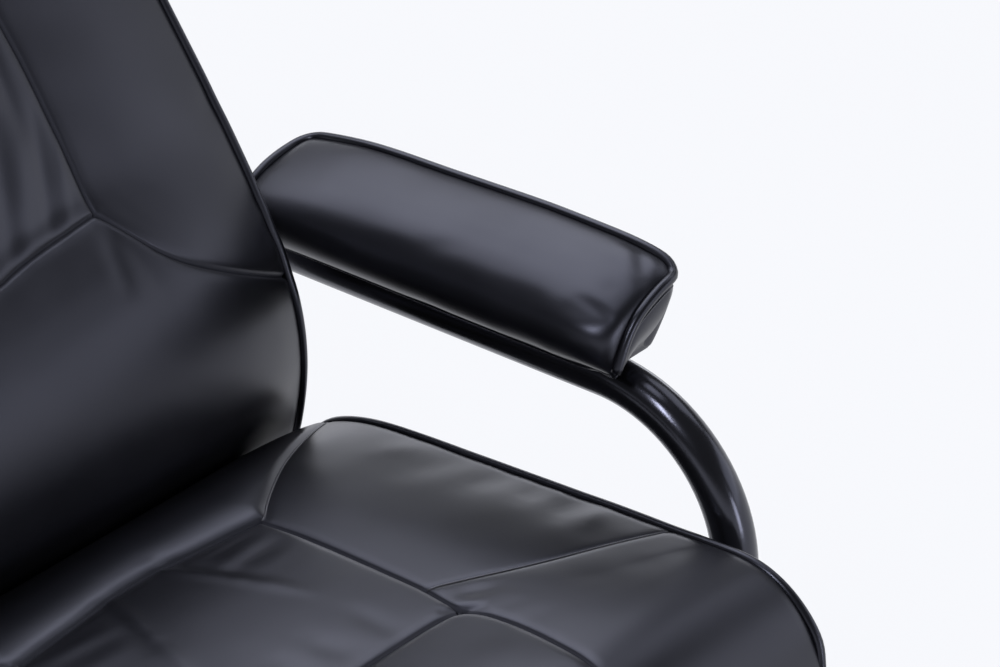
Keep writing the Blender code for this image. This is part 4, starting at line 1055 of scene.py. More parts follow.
def seat_sewn_lines(spots):
    """Which points are on the top, on seams, on lapped seams and on the piped edges."""
    i, j, k = spots.T
    top = k == SEAT_LEVELS
    half = SEAT_COLUMNS // 2
    out = np.abs(i - half)
    seam_column = len(CENTRE_STEPS) - 1
    inside = out <= seam_column
    seams = top & (j > SEAM_START) & (
        ((out == seam_column) & (j <= ROW_REAR))
        | ((j == ROW_CENTRE) & inside)
        | ((j == ROW_REAR) & inside)
    )
    lapped = top & (out >= seam_column) & ((j == ROW_DIAGONAL) | (j == ROW_REAR))
    piped = top & (out == half)
    return top, seams, lapped, piped


ROOM = 0.0006
ROOM_BELOW = 0.006
ROOM_SIDES = 32


def motor_room(node, toward):
    """A round cutter over a massage motor's cup, longer on the side away from the stuffing."""
    points = points_of(NODES[node].data)
    middle = (points.max(0) + points.min(0)) / 2
    axis = np.linalg.svd(points - points.mean(0), full_matrices=False)[2][2]
    axis *= math.copysign(1.0, float(axis @ np.array(toward)))
    along = (points - middle) @ axis
    across = np.linalg.norm(points - middle - along[:, None] * axis, axis=1)
    bm = bmesh.new()
    ends = [middle + axis * at for at in (along.min() - ROOM_BELOW, along.max() + ROOM)]
    sweep_into(bm, [Vector(end) for end in ends], float(across.max()) + ROOM, ROOM_SIDES)
    return to_object("motor_room", bm)


seat, seat_spots = sew_block(
    "seat_cushion_cover", SEAT_COLUMNS, SEAT_ROWS, SEAT_LEVELS, seat_place
)
seat_top, seat_seams, seat_lapped, seat_piped = seat_sewn_lines(seat_spots)
mark(seat, "top", seat_top)
mark(seat, "seams", seat_seams)
mark(seat, "lapped", seat_lapped)
mark(seat, "edges", seat_piped)
mark(seat, "pinned", seat_seams | seat_lapped | seat_piped | (seat_spots[:, 2] == 0))
crease_lines(seat, seat_piped)
moved = stuff(seat, np.where(seat_top, *SEAT_SWELL))
soften(seat)
draw_in(seat, "seams", *SEAM_ROLL)
draw_in(seat, "seams", *SEAM_CREASE)
dull_crease(seat, "seams", CREASE)
draw_in(seat, "lapped", *LAP_ROLL)
draw_in(seat, "edges", *EDGE_ROLL)
seat_flat = points_of(seat.data)[:, :2] - np.array([0, AXIS_Y])
press_folds(seat, seat_flat, SEAT_FOLDS + mirrored(SEAT_FOLDS))
rooms = [motor_room(f"seat_motor_{label}", (0, 0, 1)) for label in ("left", "right")]
hollow_out(seat, rooms)
dress(seat, LEATHER, "seat", "leather", "seat_cushion")
print("seat moved", [round(m * 1000, 1) for m in moved], "mm; points", len(seat.data.vertices))

# %% [markdown]
# The seat's edges are piped, and the seams that run out to the piping are lapped: one panel's
# turned edge lies on the other as a thin lip, coloured lighter as a painted highlight. At the rear
# corners the cover is pinched, and the way its surface faces there can differ from run to run. So
# the piping's rear end has a set place, tucked in below the corner.

# %% Seat cushion: piping and lips
PIPE = 0.0040
LIP = 0.0008
LIP_LIFT = 0.0006
LIP_PITCH = 0.003
SEAT_PIPE_LIFT = 0.0040
SEAT_PIPE_ROUNDS = 14
PIPE_END = Vector((0.2995, AXIS_Y + 0.1808, 0.4310))


def seat_pipe(side):
    i = SEAT_COLUMNS if side > 0 else 0
    drawn = rim_line(seat_place, [(i, j, SEAT_LEVELS) for j in range(SEAT_ROWS + 1)])
    end = Vector((side * PIPE_END.x, PIPE_END.y, PIPE_END.z))
    return line_on(seat, "edges", drawn, SEAT_PIPE_LIFT, rounds=SEAT_PIPE_ROUNDS, end=end)


def seat_lip(side, row):
    """The lapped edge of a seam from the side seam out to the piping."""
    half = SEAT_COLUMNS // 2
    columns = range(half + side * (len(CENTRE_STEPS) - 1), half + side * half, side)
    drawn = rim_line(seat_place, [(i, row, SEAT_LEVELS) for i in columns])
    return line_on(seat, "lapped", drawn, LIP_LIFT, LIP_PITCH)


seat_piping = sweep("seat_piping", [seat_pipe(1), seat_pipe(-1)], PIPE)
dress(seat_piping, PIPING_PAINTED_SHADE, "seat", "leather")
seat_lips = [seat_lip(side, row) for side in (1, -1) for row in (ROW_DIAGONAL, ROW_REAR)]
seat_seam_lips = sweep("seat_seam_lips", seat_lips, LIP, 8)
dress(seat_seam_lips, PAINTED_LIP_HIGHLIGHT, "seat", "leather")
print("seat piping faces", len(seat_piping.data.polygons))

# %% [markdown]
# The arm pad is a bolster. One panel starts low on its inner side, rolls over the top and ends at
# the outer edge, and a band of leather closes the outer side and both ends. The thick piping runs
# where the panel meets the band. The section is drawn once for the middle and once for each end.

# %% Arm pads: their lines
ARM_X = 0.345
PAD_FRONT = -0.111
PAD_REAR = 0.266
PAD_FRONT_SWELL = 0.004
PAD_FRONT_TUCK = 0.012
PAD_REAR_SWELL = 0.019
PAD_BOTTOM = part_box("arm_pad_left")[0].z
PAD_COLUMNS = 18
PAD_EDGE_HEIGHT = 0.078
PAD_EDGE = [
    (-0.111, 0.0725), (-0.071, 0.0760), (-0.033, 0.0772), (0.015, 0.0784), (0.065, 0.0773),
    (0.115, 0.0760), (0.167, 0.0754), (0.198, 0.0740), (0.236, 0.0690), (0.266, 0.0660),
]
PAD_SECTION = resample([
    (-0.0300, 0.0040), (-0.0385, 0.0075), (-0.0450, 0.0150), (-0.0490, 0.0240), (-0.0500, 0.0327),
    (-0.0490, 0.0407), (-0.0460, 0.0472), (-0.0405, 0.0527), (-0.0335, 0.0572), (-0.0235, 0.0623),
    (-0.0035, 0.0700), (0.0165, 0.0761), (0.0315, 0.0790), (0.0415, 0.0790),
], PAD_COLUMNS + 1)
PAD_END_FRONT = resample([
    (-0.0395, 0.0060), (-0.0365, 0.0110), (-0.0333, 0.0167), (-0.0254, 0.0326), (-0.0126, 0.0481),
    (0.0064, 0.0577), (0.0230, 0.0640), (0.0340, 0.0650), (0.0410, 0.0620),
], PAD_COLUMNS + 1)
PAD_END_REAR = resample([
    (-0.0320, 0.0060), (-0.0380, 0.0180), (-0.0370, 0.0320), (-0.0280, 0.0450), (-0.0100, 0.0540),
    (0.0100, 0.0590), (0.0280, 0.0620), (0.0410, 0.0625),
], PAD_COLUMNS + 1)
PAD_UNDER = (-0.030, 0.034)
PAD_ROUND = 0.040
PAD_TURN_UP = 0.012
PAD_STEPS = spaced(26)
PAD_ROWS = len(PAD_STEPS) - 1
PAD_LEVELS = 6
PAD_CORNER = 0.014
PAD_FOLDS = [
    ((0.030, -0.080), (0.012, -0.098), 0.006, -0.0011),
    ((0.020, -0.072), (0.000, -0.096), 0.007, 0.0007),
    ((0.034, -0.060), (0.036, -0.086), 0.006, -0.0008),
    ((-0.040, -0.062), (-0.036, -0.098), 0.006, -0.0011),
    ((-0.030, -0.070), (-0.030, -0.100), 0.005, -0.0012),
    ((-0.044, -0.010), (-0.040, -0.050), 0.008, -0.0007),
    ((-0.040, 0.080), (-0.030, 0.050), 0.009, -0.0006),
    ((0.030, 0.262), (0.010, 0.276), 0.007, -0.0009),
]
print("pad grid", PAD_COLUMNS, "x", PAD_ROWS)

# %% [markdown]
# Along the pad, its section blends from the middle's to each end's on a round shoulder. The outer
# corners are rounded in plan, so a helper carries a square corner onto a quarter circle.

# %% Arm pads: their shape
PAD_SIDE_SWELL = 0.004
PAD_UNDER_FRONT = 0.30
PAD_UNDER_REAR = 0.55


def round_corner(a, b, radius):
    """Carries a point near a square corner (distances a and b from its sides) onto an arc."""
    if a >= radius or b >= radius:
        return a, b
    u = 1 - a / radius
    v = 1 - b / radius
    far = math.hypot(u, v)
    if far < 1e-9:
        return a, b
    share = max(u, v) / far
    return radius * (1 - u * share), radius * (1 - v * share)


def pad_place(side):
    outer = float(PAD_SECTION[-1][0])

    def place(i, j, k):
        y = mix(PAD_FRONT, PAD_REAR, PAD_STEPS[j])
        rear = PAD_STEPS[j] > 0.5
        end = PAD_REAR - y if rear else y - PAD_FRONT
        full = math.sqrt(1 - (1 - min(end, PAD_ROUND) / PAD_ROUND) ** 2)
        tip = PAD_END_REAR[i] if rear else PAD_END_FRONT[i]
        body = PAD_SECTION[i]
        across = mix(tip[0], body[0], full)
        height = mix(tip[1], body[1] * read_line(PAD_EDGE, y) / PAD_EDGE_HEIGHT, full)
        gap, end = round_corner(outer - across, end, PAD_CORNER)
        across = outer - gap
        y = PAD_REAR - end if rear else PAD_FRONT + end
        f = k / PAD_LEVELS
        narrow = PAD_UNDER_REAR if rear else PAD_UNDER_FRONT
        under = mix(*PAD_UNDER, i / PAD_COLUMNS) * mix(narrow, 1.0, full)
        across = mix(under, across, 1 - (1 - f) ** 2)
        swell = math.sin(math.pi * f) ** 0.8 * (1 - (i / PAD_COLUMNS) ** 6)
        if not rear:
            y += PAD_FRONT_TUCK * (1 - f) ** 2 * (1 - full)
        if j == 0:
            y -= PAD_FRONT_SWELL * swell
        if j == PAD_ROWS:
            y += PAD_REAR_SWELL * swell
        if i == PAD_COLUMNS:
            across += PAD_SIDE_SWELL * math.sin(math.pi * f)
        z = PAD_BOTTOM + mix(PAD_TURN_UP * (1 - full), height, f)
        return Vector((side * (ARM_X + across), AXIS_Y + y, z))

    return place


def pad_rim():
    """The piped edge of a pad: along the front end, the outer edge and the rear end."""
    front = [(i, 0, PAD_LEVELS) for i in range(1, PAD_COLUMNS)]
    outer = [(PAD_COLUMNS, j, PAD_LEVELS) for j in range(PAD_ROWS + 1)]
    rear = [(i, PAD_ROWS, PAD_LEVELS) for i in range(PAD_COLUMNS - 1, 0, -1)]
    return front + outer + rear


print("pad rim points", len(pad_rim()))

# %% [markdown]
# Both pads are sewn by the same function, once for each side. The wooden board inside gets its own
# room, cut last.

# %% Arm pads: sewing them
PAD_SWELL = (0.0022, 0.003)
PAD_PIPE = 0.0042
PAD_PIPE_LIFT = 0.0032
PAD_PIPE_PITCH = 0.004
PAD_PIPE_ROUNDS = 3
PAD_EDGE_ROLL = (0.0040, 0.020)
CAP_LIFT = 0.0001
BOARD_ROOM = 0.0004


def box_plug(name, low, high, slack):
    """A cutter a little larger than a box."""
    size = high - low + Vector((2, 2, 2)) * slack
    bm = bmesh.new()
    bmesh.ops.create_cube(bm, size=1.0, matrix=Matrix.Diagonal((*size, 1.0)))
    bmesh.ops.translate(bm, vec=(low + high) / 2, verts=bm.verts)
    return to_object(name, bm)


def make_pad(label, side):
    place = pad_place(side)
    pad, spots = sew_block(f"arm_pad_cover_{label}", PAD_COLUMNS, PAD_ROWS, PAD_LEVELS, place)
    rim = set(pad_rim())
    piped = np.array([tuple(spot) in rim for spot in spots.tolist()])
    top = spots[:, 2] == PAD_LEVELS
    low_seam = top & (spots[:, 0] == 0)
    mark(pad, "top", top)
    mark(pad, "seams", low_seam)
    mark(pad, "edges", piped)
    cap_stitch = (spots[:, 1] == 0) & (spots[:, 2] == PAD_LEVELS - 1)
    mark(pad, "cap_stitch", cap_stitch)
    mark(pad, "pinned", piped | low_seam | (spots[:, 2] == 0))
    crease_lines(pad, piped | low_seam)
    moved = stuff(pad, np.where(top, *PAD_SWELL))
    soften(pad)
    draw_in(pad, "edges", *PAD_EDGE_ROLL)
    points = points_of(pad.data)
    flat = np.stack([side * points[:, 0] - ARM_X, points[:, 1] - AXIS_Y], 1)
    press_folds(pad, flat, PAD_FOLDS)
    drawn = rim_line(place, pad_rim())
    edge = line_on(pad, "edges", drawn, PAD_PIPE_LIFT, PAD_PIPE_PITCH, PAD_PIPE_ROUNDS)
    pipe = sweep(f"arm_piping_{label}", [edge], PAD_PIPE)
    seam = rim_line(place, [(0, j, PAD_LEVELS) for j in range(1, PAD_ROWS)])
    cap = rim_line(place, [(i, 0, PAD_LEVELS - 1) for i in range(2, PAD_COLUMNS)])
    lips = [
        line_on(pad, "seams", seam, LIP_LIFT, LIP_PITCH),
        line_on(pad, "cap_stitch", cap, CAP_LIFT, LIP_PITCH),
    ]
    lip = sweep(f"arm_seam_lip_{label}", lips, LIP, 8)
    # The pad's lips take the same lighter colour, a painted highlight.
    dress(lip, PAINTED_LIP_HIGHLIGHT, "seat", "leather")
    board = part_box(f"arm_board_{label}")
    hollow_out(pad, [box_plug("board_room", *board, BOARD_ROOM)])
    dress(pad, LEATHER, "seat", "leather", f"arm_pad_{label}")
    dress(pipe, PIPING_PAINTED_SHADE, "seat", "leather")
    return moved


for label, side in (("left", 1), ("right", -1)):
    moved = make_pad(label, side)
    print("arm pad", label, "moved", [round(m * 1000, 1) for m in moved], "mm")

# %% [markdown]
# The backrest bends: its lower end stands almost upright, then leans back, and the head end comes
# forward again. All its lines are measured up the front edge, so a seam is a list of (across, up)
# pairs. Below the dipping seam lies the smooth lumbar panel, above it a gathered centre panel
# between two long side panels, and a head panel at the top.

# %% Backrest: its lines
BACK_FRONT = 0.1955
BACK_BOTTOM = 0.420
BACK_LENGTH = 0.650
BACK_HALF_LOW = 0.286
BACK_HALF_TOP = 0.250
LEAN_LOW = math.radians(-14)
LEAN = math.radians(30)
LEAN_HEAD = math.radians(19)
BEND_LENGTH = 0.250
HEAD_START = 0.470
FOAM = 0.066
BACK_DEEP = 0.1058
HEAD_SEAM = 0.500
BACK_FLARE = 0.005
LUMBAR_SEAM = [
    (0.0, 0.251), (0.013, 0.256), (0.047, 0.262), (0.080, 0.266), (0.111, 0.270), (0.1265, 0.251),
    (0.147, 0.226), (0.169, 0.209), (0.197, 0.194), (0.228, 0.180), (0.2745, 0.161), (0.286, 0.157),
]
LONG_SEAM = [
    (0.0, 0.112), (0.270, 0.1115), (0.307, 0.1116), (0.349, 0.1104), (0.392, 0.1087),
    (0.427, 0.1040), (0.650, 0.092),
]
BACK_CENTRE = spaced(8, "end")
BACK_OUTER = spaced(13)
BACK_COLUMNS = 2 * (len(BACK_CENTRE) + len(BACK_OUTER) - 2)
BACK_LOW = spaced(15, "end")
BACK_MIDDLE = spaced(13)
BACK_HEAD = [0.0, 0.06, 0.16, 0.30, 0.46, 0.60, 0.627, 0.67, 0.78, 0.88, 0.95, 1.0]
ROW_LUMBAR = len(BACK_LOW) - 1
ROW_HEAD = ROW_LUMBAR + len(BACK_MIDDLE) - 1
ROW_HOLLOW = ROW_HEAD + 6
BACK_ROWS = ROW_HEAD + len(BACK_HEAD) - 1
BACK_LEVELS = 7
print("back grid", BACK_COLUMNS, "x", BACK_ROWS)

# %% [markdown]
# The bend is walked in small steps: at each step the lean is known, so the next point follows from
# the last one. The walk is kept as a table, and every other height on the back is read from it.

# %% Backrest: its bend
TRACE_STEP = 0.001
TRACE_OVER = 0.02


def back_lean(s):
    low = mix(LEAN_LOW, LEAN, ease(s / BEND_LENGTH))
    return mix(low, LEAN_HEAD, ease((s - HEAD_START) / (BACK_LENGTH - HEAD_START)))


def back_trace():
    """Table of (s, y, z, lean) up the front edge, from its lower end to above its top."""
    y, z, s = BACK_FRONT, BACK_BOTTOM, 0.0
    table = []
    while s < BACK_LENGTH + TRACE_OVER:
        lean = back_lean(s)
        table.append((s, y, z, lean))
        half = back_lean(s + TRACE_STEP / 2)
        y += math.sin(half) * TRACE_STEP
        z += math.cos(half) * TRACE_STEP
        s += TRACE_STEP
    return np.array(table)


BACK_TABLE = back_trace()


def back_point(s, behind):
    y, z, lean = (np.interp(s, BACK_TABLE[:, 0], BACK_TABLE[:, c]) for c in (1, 2, 3))
    return y + behind * math.cos(lean), z - behind * math.sin(lean)


print("back top at", [round(float(c), 3) for c in back_point(BACK_LENGTH, 0.0)])

# %% [markdown]
# Across the back, the grid follows the two long seams and the dipping lumbar seam, and its outer
# columns follow the edge, which narrows upward and is rounded at the top corners.

# %% Backrest: its plan
BACK_SEAM = 0.111
BACK_CORNER = 0.055
BACK_CORNER_IN = 0.12
FLARE_START, FLARE_RUN = 0.18, 0.14


def back_half(s):
    half = mix(BACK_HALF_LOW, BACK_HALF_TOP, ease(s / BACK_LENGTH))
    corner = max(0.0, (s - BACK_LENGTH + BACK_CORNER) / BACK_CORNER)
    return half * (1 - BACK_CORNER_IN * corner ** 3)


def back_edge(s):
    """Half width at the piping: the stuffed upper part stands a little wider than its board."""
    return back_half(s) + BACK_FLARE * ease((s - FLARE_START) / FLARE_RUN)


def back_rows(x):
    lumbar = read_line(LUMBAR_SEAM, abs(x))
    rows = [mix(0.0, lumbar, t) for t in BACK_LOW]
    rows += [mix(lumbar, HEAD_SEAM, t) for t in BACK_MIDDLE[1:]]
    rows += [mix(HEAD_SEAM, BACK_LENGTH, t) for t in BACK_HEAD[1:]]
    return rows


def back_column(i):
    half = BACK_COLUMNS // 2
    side = -1 if i < half else 1
    n = abs(i - half)
    if n < len(BACK_CENTRE):
        return side, True, BACK_CENTRE[n], n
    n -= len(BACK_CENTRE) - 1
    return side, False, BACK_OUTER[n], n


def back_plan(i, j):
    side, centre, t, _ = back_column(i)
    x = BACK_SEAM * t if centre else mix(BACK_SEAM, BACK_HALF_LOW, t)
    s = back_rows(x)[j]
    seam = read_line(LONG_SEAM, s)
    x = seam * t if centre else mix(seam, back_edge(s), t)
    return side * x, s


print("back half width, low and top", [round(back_edge(s), 4) for s in (0.0, BACK_LENGTH)])

# %% [markdown]
# In depth, the front is crowned, most of all over the lumbar panel. The rear is hollow, so that
# board and posts lie inside a padded wall.

# %% Backrest: its depth
BACK_PULL = 0.985
BACK_WALL = 0.020
FIT = 0.0004
WALL_STEP = 0.003
CROWN_UPPER, CROWN_LUMBAR = 0.017, 0.034
LUMBAR_END, LUMBAR_RUN, LUMBAR_BELOW = 0.28, 0.30, 0.02
CROWN_RISE = 0.085
CROWN_FALL, CROWN_LEFT = 0.06, 0.15
SIDE_WIDEN = 0.013
SIDE_BULGE_LOW, SIDE_BULGE, SIDE_BULGE_RUN = 0.012, 0.030, 0.25


def back_crown(x, s):
    """How far the stuffed front stands ahead of the edge line."""
    u = min(1.0, abs(x) / back_edge(s))
    low = 0.0
    if s < LUMBAR_END:
        low = math.sin(math.pi * min(1.0, (s + LUMBAR_BELOW) / LUMBAR_RUN)) ** 0.8
    crown = mix(CROWN_UPPER, CROWN_LUMBAR, low) * (1 - u ** 4)
    return crown * ease(s / CROWN_RISE) * min(1.0, (BACK_LENGTH - s) / CROWN_FALL + CROWN_LEFT)


def back_rear(i, j):
    """(x, depth) of the rear side: a hollow for board and posts inside a padded wall."""
    x, s = back_plan(i, j)
    side, centre, _, n = back_column(i)
    inside = back_half(s) * BACK_PULL - BACK_WALL + FIT
    wall = len(BACK_OUTER) - 3
    if not centre and n > wall:
        outward = (n - wall - 1) / (len(BACK_OUTER) - 2 - wall)
        return side * mix(inside + WALL_STEP, back_edge(s) * BACK_PULL, outward), BACK_DEEP
    if not centre:
        seam = read_line(LONG_SEAM, s)
        x = side * mix(seam, inside, n / wall)
    return x, (FOAM - FIT if j <= ROW_HOLLOW else BACK_DEEP)


def back_place(i, j, k):
    x, s = back_plan(i, j)
    rear_x, rear = back_rear(i, j)
    if k == 0:
        return Vector((rear_x, AXIS_Y, 0)) + Vector((0, *back_point(s, rear)))
    f = k / BACK_LEVELS
    crown = back_crown(x, s) if k == BACK_LEVELS else 0.0
    bulge = mix(SIDE_BULGE_LOW, SIDE_BULGE, ease(s / SIDE_BULGE_RUN))
    x *= BACK_PULL + SIDE_WIDEN * f + bulge * math.sin(math.pi * f)
    y, z = back_point(s, rear * (1 - f) - crown)
    return Vector((x, AXIS_Y + y, z))


crowns = [round(1000 * back_crown(0.0, s), 1) for s in (0.13, 0.4)]
print("back crown, lumbar and upper, mm", crowns)

# %% [markdown]
# The back is sewn as the seat was. The gathers of the centre panel run up and down: the panel is
# cut longer than its place and shirred along both long seams, so soft folds stand in it.

# %% Backrest: sewing it
BACK_SWELL = (0.009, 0.003)
BACK_FOLDS = [
    ((0.097, 0.355), (0.066, 0.268), 0.007, -0.0011),
    ((0.108, 0.330), (0.084, 0.270), 0.006, 0.0007),
    ((0.074, 0.350), (0.040, 0.264), 0.008, 0.0008),
    ((0.060, 0.370), (0.024, 0.262), 0.007, -0.0010),
    ((0.030, 0.400), (0.006, 0.262), 0.010, 0.0009),
    ((0.085, 0.460), (0.080, 0.350), 0.008, -0.0016),
    ((0.055, 0.490), (0.050, 0.380), 0.009, -0.0016),
    ((0.025, 0.495), (0.018, 0.400), 0.009, 0.0012),
    ((0.070, 0.495), (0.066, 0.420), 0.007, 0.0012),
    ((0.113, 0.266), (0.140, 0.232), 0.006, 0.0008),
    ((0.112, 0.262), (0.104, 0.215), 0.009, -0.0010),
    ((0.120, 0.250), (0.136, 0.200), 0.010, -0.0009),
    ((0.262, 0.215), (0.281, 0.232), 0.006, -0.0008),
    ((0.258, 0.190), (0.281, 0.206), 0.006, -0.0008),
    ((0.262, 0.176), (0.281, 0.186), 0.006, 0.0006),
    ((0.255, 0.300), (0.276, 0.310), 0.010, -0.0005),
    ((0.060, 0.512), (0.066, 0.545), 0.010, -0.0008),
    ((0.020, 0.510), (0.022, 0.550), 0.011, -0.0008),
]


def back_sewn_lines(spots):
    i, j, k = spots.T
    top = k == BACK_LEVELS
    half = BACK_COLUMNS // 2
    out = np.abs(i - half)
    seam_column = len(BACK_CENTRE) - 1
    seams = top & (
        (j == ROW_LUMBAR)
        | ((out == seam_column) & (j >= ROW_LUMBAR))
        | ((j == ROW_HEAD) & (out <= seam_column))
    )
    piped = top & ((out == half) | (j == BACK_ROWS))
    return top, seams, piped


def back_hollow_rim(spots):
    """Points on both edges of the wall round the rear hollow."""
    i, j, k = spots.T
    half = BACK_COLUMNS // 2
    out = np.abs(i - half) - (len(BACK_CENTRE) - 1)
    wall = len(BACK_OUTER) - 3
    sides = ((out == wall) | (out == wall + 1)) & (j <= ROW_HOLLOW + 1)
    top = ((j == ROW_HOLLOW) | (j == ROW_HOLLOW + 1)) & (out <= wall + 1)
    return (k == 0) & (sides | top)


BATCH = 4096


def back_flat(points):
    """(across, up) of points on the back."""
    up = np.empty(len(points))
    for n in range(0, len(points), BATCH):
        part = points[n:n + BATCH]
        dy = part[:, 1, None] - AXIS_Y - BACK_TABLE[None, :, 1]
        dz = part[:, 2, None] - BACK_TABLE[None, :, 2]
        up[n:n + BATCH] = BACK_TABLE[np.argmin(dy * dy + dz * dz, axis=1), 0]
    return np.stack([points[:, 0], up], 1)


back, back_spots = sew_block(
    "back_cushion_cover", BACK_COLUMNS, BACK_ROWS, BACK_LEVELS, back_place
)
back_top, back_seams, back_piped = back_sewn_lines(back_spots)
mark(back, "top", back_top)
mark(back, "seams", back_seams)
mark(back, "edges", back_piped)
lower_edge = back_top & (back_spots[:, 1] == 0)
mark(back, "pinned", back_seams | back_piped | lower_edge | (back_spots[:, 2] <= 1))
crease_lines(back, back_piped | back_hollow_rim(back_spots))
moved = stuff(back, np.where(back_top, *BACK_SWELL))
soften(back)
draw_in(back, "seams", *SEAM_ROLL)
draw_in(back, "seams", *SEAM_CREASE)
dull_crease(back, "seams", CREASE)
draw_in(back, "edges", *EDGE_ROLL)
press_folds(back, back_flat(points_of(back.data)), BACK_FOLDS + mirrored(BACK_FOLDS))
rooms = [motor_room(f"lumbar_motor_{label}", (0, -1, 0)) for label in ("left", "right")]
hollow_out(back, rooms)
dress(back, LEATHER, "back", "leather", "back_cushion")
print("back moved", [round(m * 1000, 1) for m in moved], "mm; points", len(back.data.vertices))

# %% [markdown]
# One length of piping goes up the left edge, across the top and down the right edge of the back.

# %% Backrest: piping
BACK_PIPE_LIFT = 0.0030
BACK_PIPE_ROUNDS = 4
rim = [(BACK_COLUMNS, j, BACK_LEVELS) for j in range(BACK_ROWS + 1)]
rim += [(i, BACK_ROWS, BACK_LEVELS) for i in range(BACK_COLUMNS - 1, 0, -1)]
rim += [(0, j, BACK_LEVELS) for j in range(BACK_ROWS, -1, -1)]
back_line = rim_line(back_place, rim)
back_line = line_on(back, "edges", back_line, BACK_PIPE_LIFT, rounds=BACK_PIPE_ROUNDS)
back_piping = sweep("back_piping", [back_line], PIPE)
dress(back_piping, PIPING_PAINTED_SHADE, "back", "leather")
print("back piping faces", len(back_piping.data.polygons))

# %% [markdown]
# A padded cover closes the rear of the back. It is a thin block: its front lies flat against the
# posts and its rear is crowned.

# %% Rear cover
COVER_FRONT = 0.1022
COVER_THICK = 0.012
COVER_CROWN = 0.007
COVER_LOW = 0.004
COVER_HIGH = 0.592
COVER_COLUMNS = 20
COVER_ROWS = 34
COVER_LEVELS = 3
COVER_REACH = 0.0206
COVER_GAP = 0.0006
COVER_SWELL = (0.006, 0.001)
COVER_ROLL = (0.003, 0.012)
COVER_PIPE = 0.0046
COVER_PIPE_LIFT = 0.0010
COVER_ACROSS = spaced(COVER_COLUMNS)
COVER_UP = spaced(COVER_ROWS)


def cover_place(i, j, k):
    s = mix(COVER_LOW, COVER_HIGH, COVER_UP[j])
    u = 2 * COVER_ACROSS[i] - 1
    half = back_half(s) * BACK_PULL - COVER_REACH
    behind = COVER_FRONT + COVER_GAP
    if k:
        crown = COVER_CROWN * (1 - abs(u) ** 3) * (1 - (2 * COVER_UP[j] - 1) ** 4)
        behind = COVER_FRONT + (COVER_THICK + crown) * k / COVER_LEVELS
    y, z = back_point(s, behind)
    return Vector((u * half, AXIS_Y + y, z))


def cover_rim():
    low = [(i, 0, COVER_LEVELS) for i in range(COVER_COLUMNS)]
    left = [(COVER_COLUMNS, j, COVER_LEVELS) for j in range(COVER_ROWS)]
    top = [(i, COVER_ROWS, COVER_LEVELS) for i in range(COVER_COLUMNS, 0, -1)]
    right = [(0, j, COVER_LEVELS) for j in range(COVER_ROWS, 0, -1)]
    return low + left + top + right


cover, cover_spots = sew_block(
    "back_cover_panel", COVER_COLUMNS, COVER_ROWS, COVER_LEVELS, cover_place
)
rim_set = set(cover_rim())
cover_edge = np.array([tuple(spot) in rim_set for spot in cover_spots.tolist()])
cover_top = cover_spots[:, 2] == COVER_LEVELS
cover_mid = cover_top & (cover_spots[:, 1] == COVER_ROWS // 2)
mark(cover, "top", cover_top)
mark(cover, "seams", cover_mid)
mark(cover, "edges", cover_edge)
mark(cover, "pinned", cover_edge | cover_mid | (cover_spots[:, 2] == 0))
crease_lines(cover, cover_edge)
moved = stuff(cover, np.where(cover_top, *COVER_SWELL))
soften(cover)
draw_in(cover, "seams", *COVER_ROLL)
dress(cover, LEATHER, "back", "leather", "back_cover")
cover_line = rim_line(cover_place, cover_rim() + cover_rim()[:1])
cover_line = line_on(cover, "edges", cover_line, COVER_PIPE_LIFT)
cover_pipe = sweep("back_cover_piping", [cover_line], COVER_PIPE)
dress(cover_pipe, PIPING_PAINTED_SHADE, "back", "leather")
print("cover moved", [round(m * 1000, 1) for m in moved], "mm")

# %% [markdown]
# The footstool's cushion repeats the seat in small: three panels, a crowned top and piping round
# its upper and lower edges, with the corners rounded in plan.

# %% Footstool cushion: its lines
stool_low, stool_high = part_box("stool_cushion")
STOOL_Y = (stool_low.y + stool_high.y) / 2
STOOL_BOTTOM = stool_low.z
STOOL_HALF = 0.240
STOOL_DEEP = 0.200
STOOL_EDGE = 0.100
STOOL_CROWN = 0.012
STOOL_SEAM = 0.115
STOOL_CORNER = 0.050
STOOL_CENTRE = spaced(8, "end")
STOOL_OUTER = spaced(11)
STOOL_COLUMNS = 2 * (len(STOOL_CENTRE) + len(STOOL_OUTER) - 2)
STOOL_ALONG = spaced(30)
STOOL_ROWS = len(STOOL_ALONG) - 1
STOOL_LEVELS = 8
STOOL_FOLDS = [
    ((0.118, -0.150), (0.150, -0.140), 0.009, -0.0013),
    ((0.118, -0.060), (0.150, -0.052), 0.010, -0.0012),
    ((0.118, 0.070), (0.152, 0.078), 0.010, -0.0013),
    ((0.112, 0.120), (0.080, 0.126), 0.010, -0.0012),
    ((0.112, 0.010), (0.078, 0.004), 0.010, -0.0012),
    ((0.200, -0.178), (0.190, -0.150), 0.009, -0.0012),
    ((0.215, 0.120), (0.190, 0.112), 0.010, -0.0011),
    ((0.040, -0.182), (0.044, -0.150), 0.010, -0.0011),
]
print("stool grid", STOOL_COLUMNS, "x", STOOL_ROWS)

# %% [markdown]
# It is sewn like the seat, with its own deeper seams. Two closed lines of piping go round it.

# %% Footstool cushion: sewing it
STOOL_SWELL = (0.010, 0.004)
STOOL_TUCK = 0.030
STOOL_BULGE = 0.010
STOOL_SEAM_ROLL = (0.0030, 0.015)
STOOL_SEAM_CREASE = (0.0014, 0.0040)
STOOL_PIPE_LIFT = 0.0024
STOOL_PIPE_ROUNDS = 5


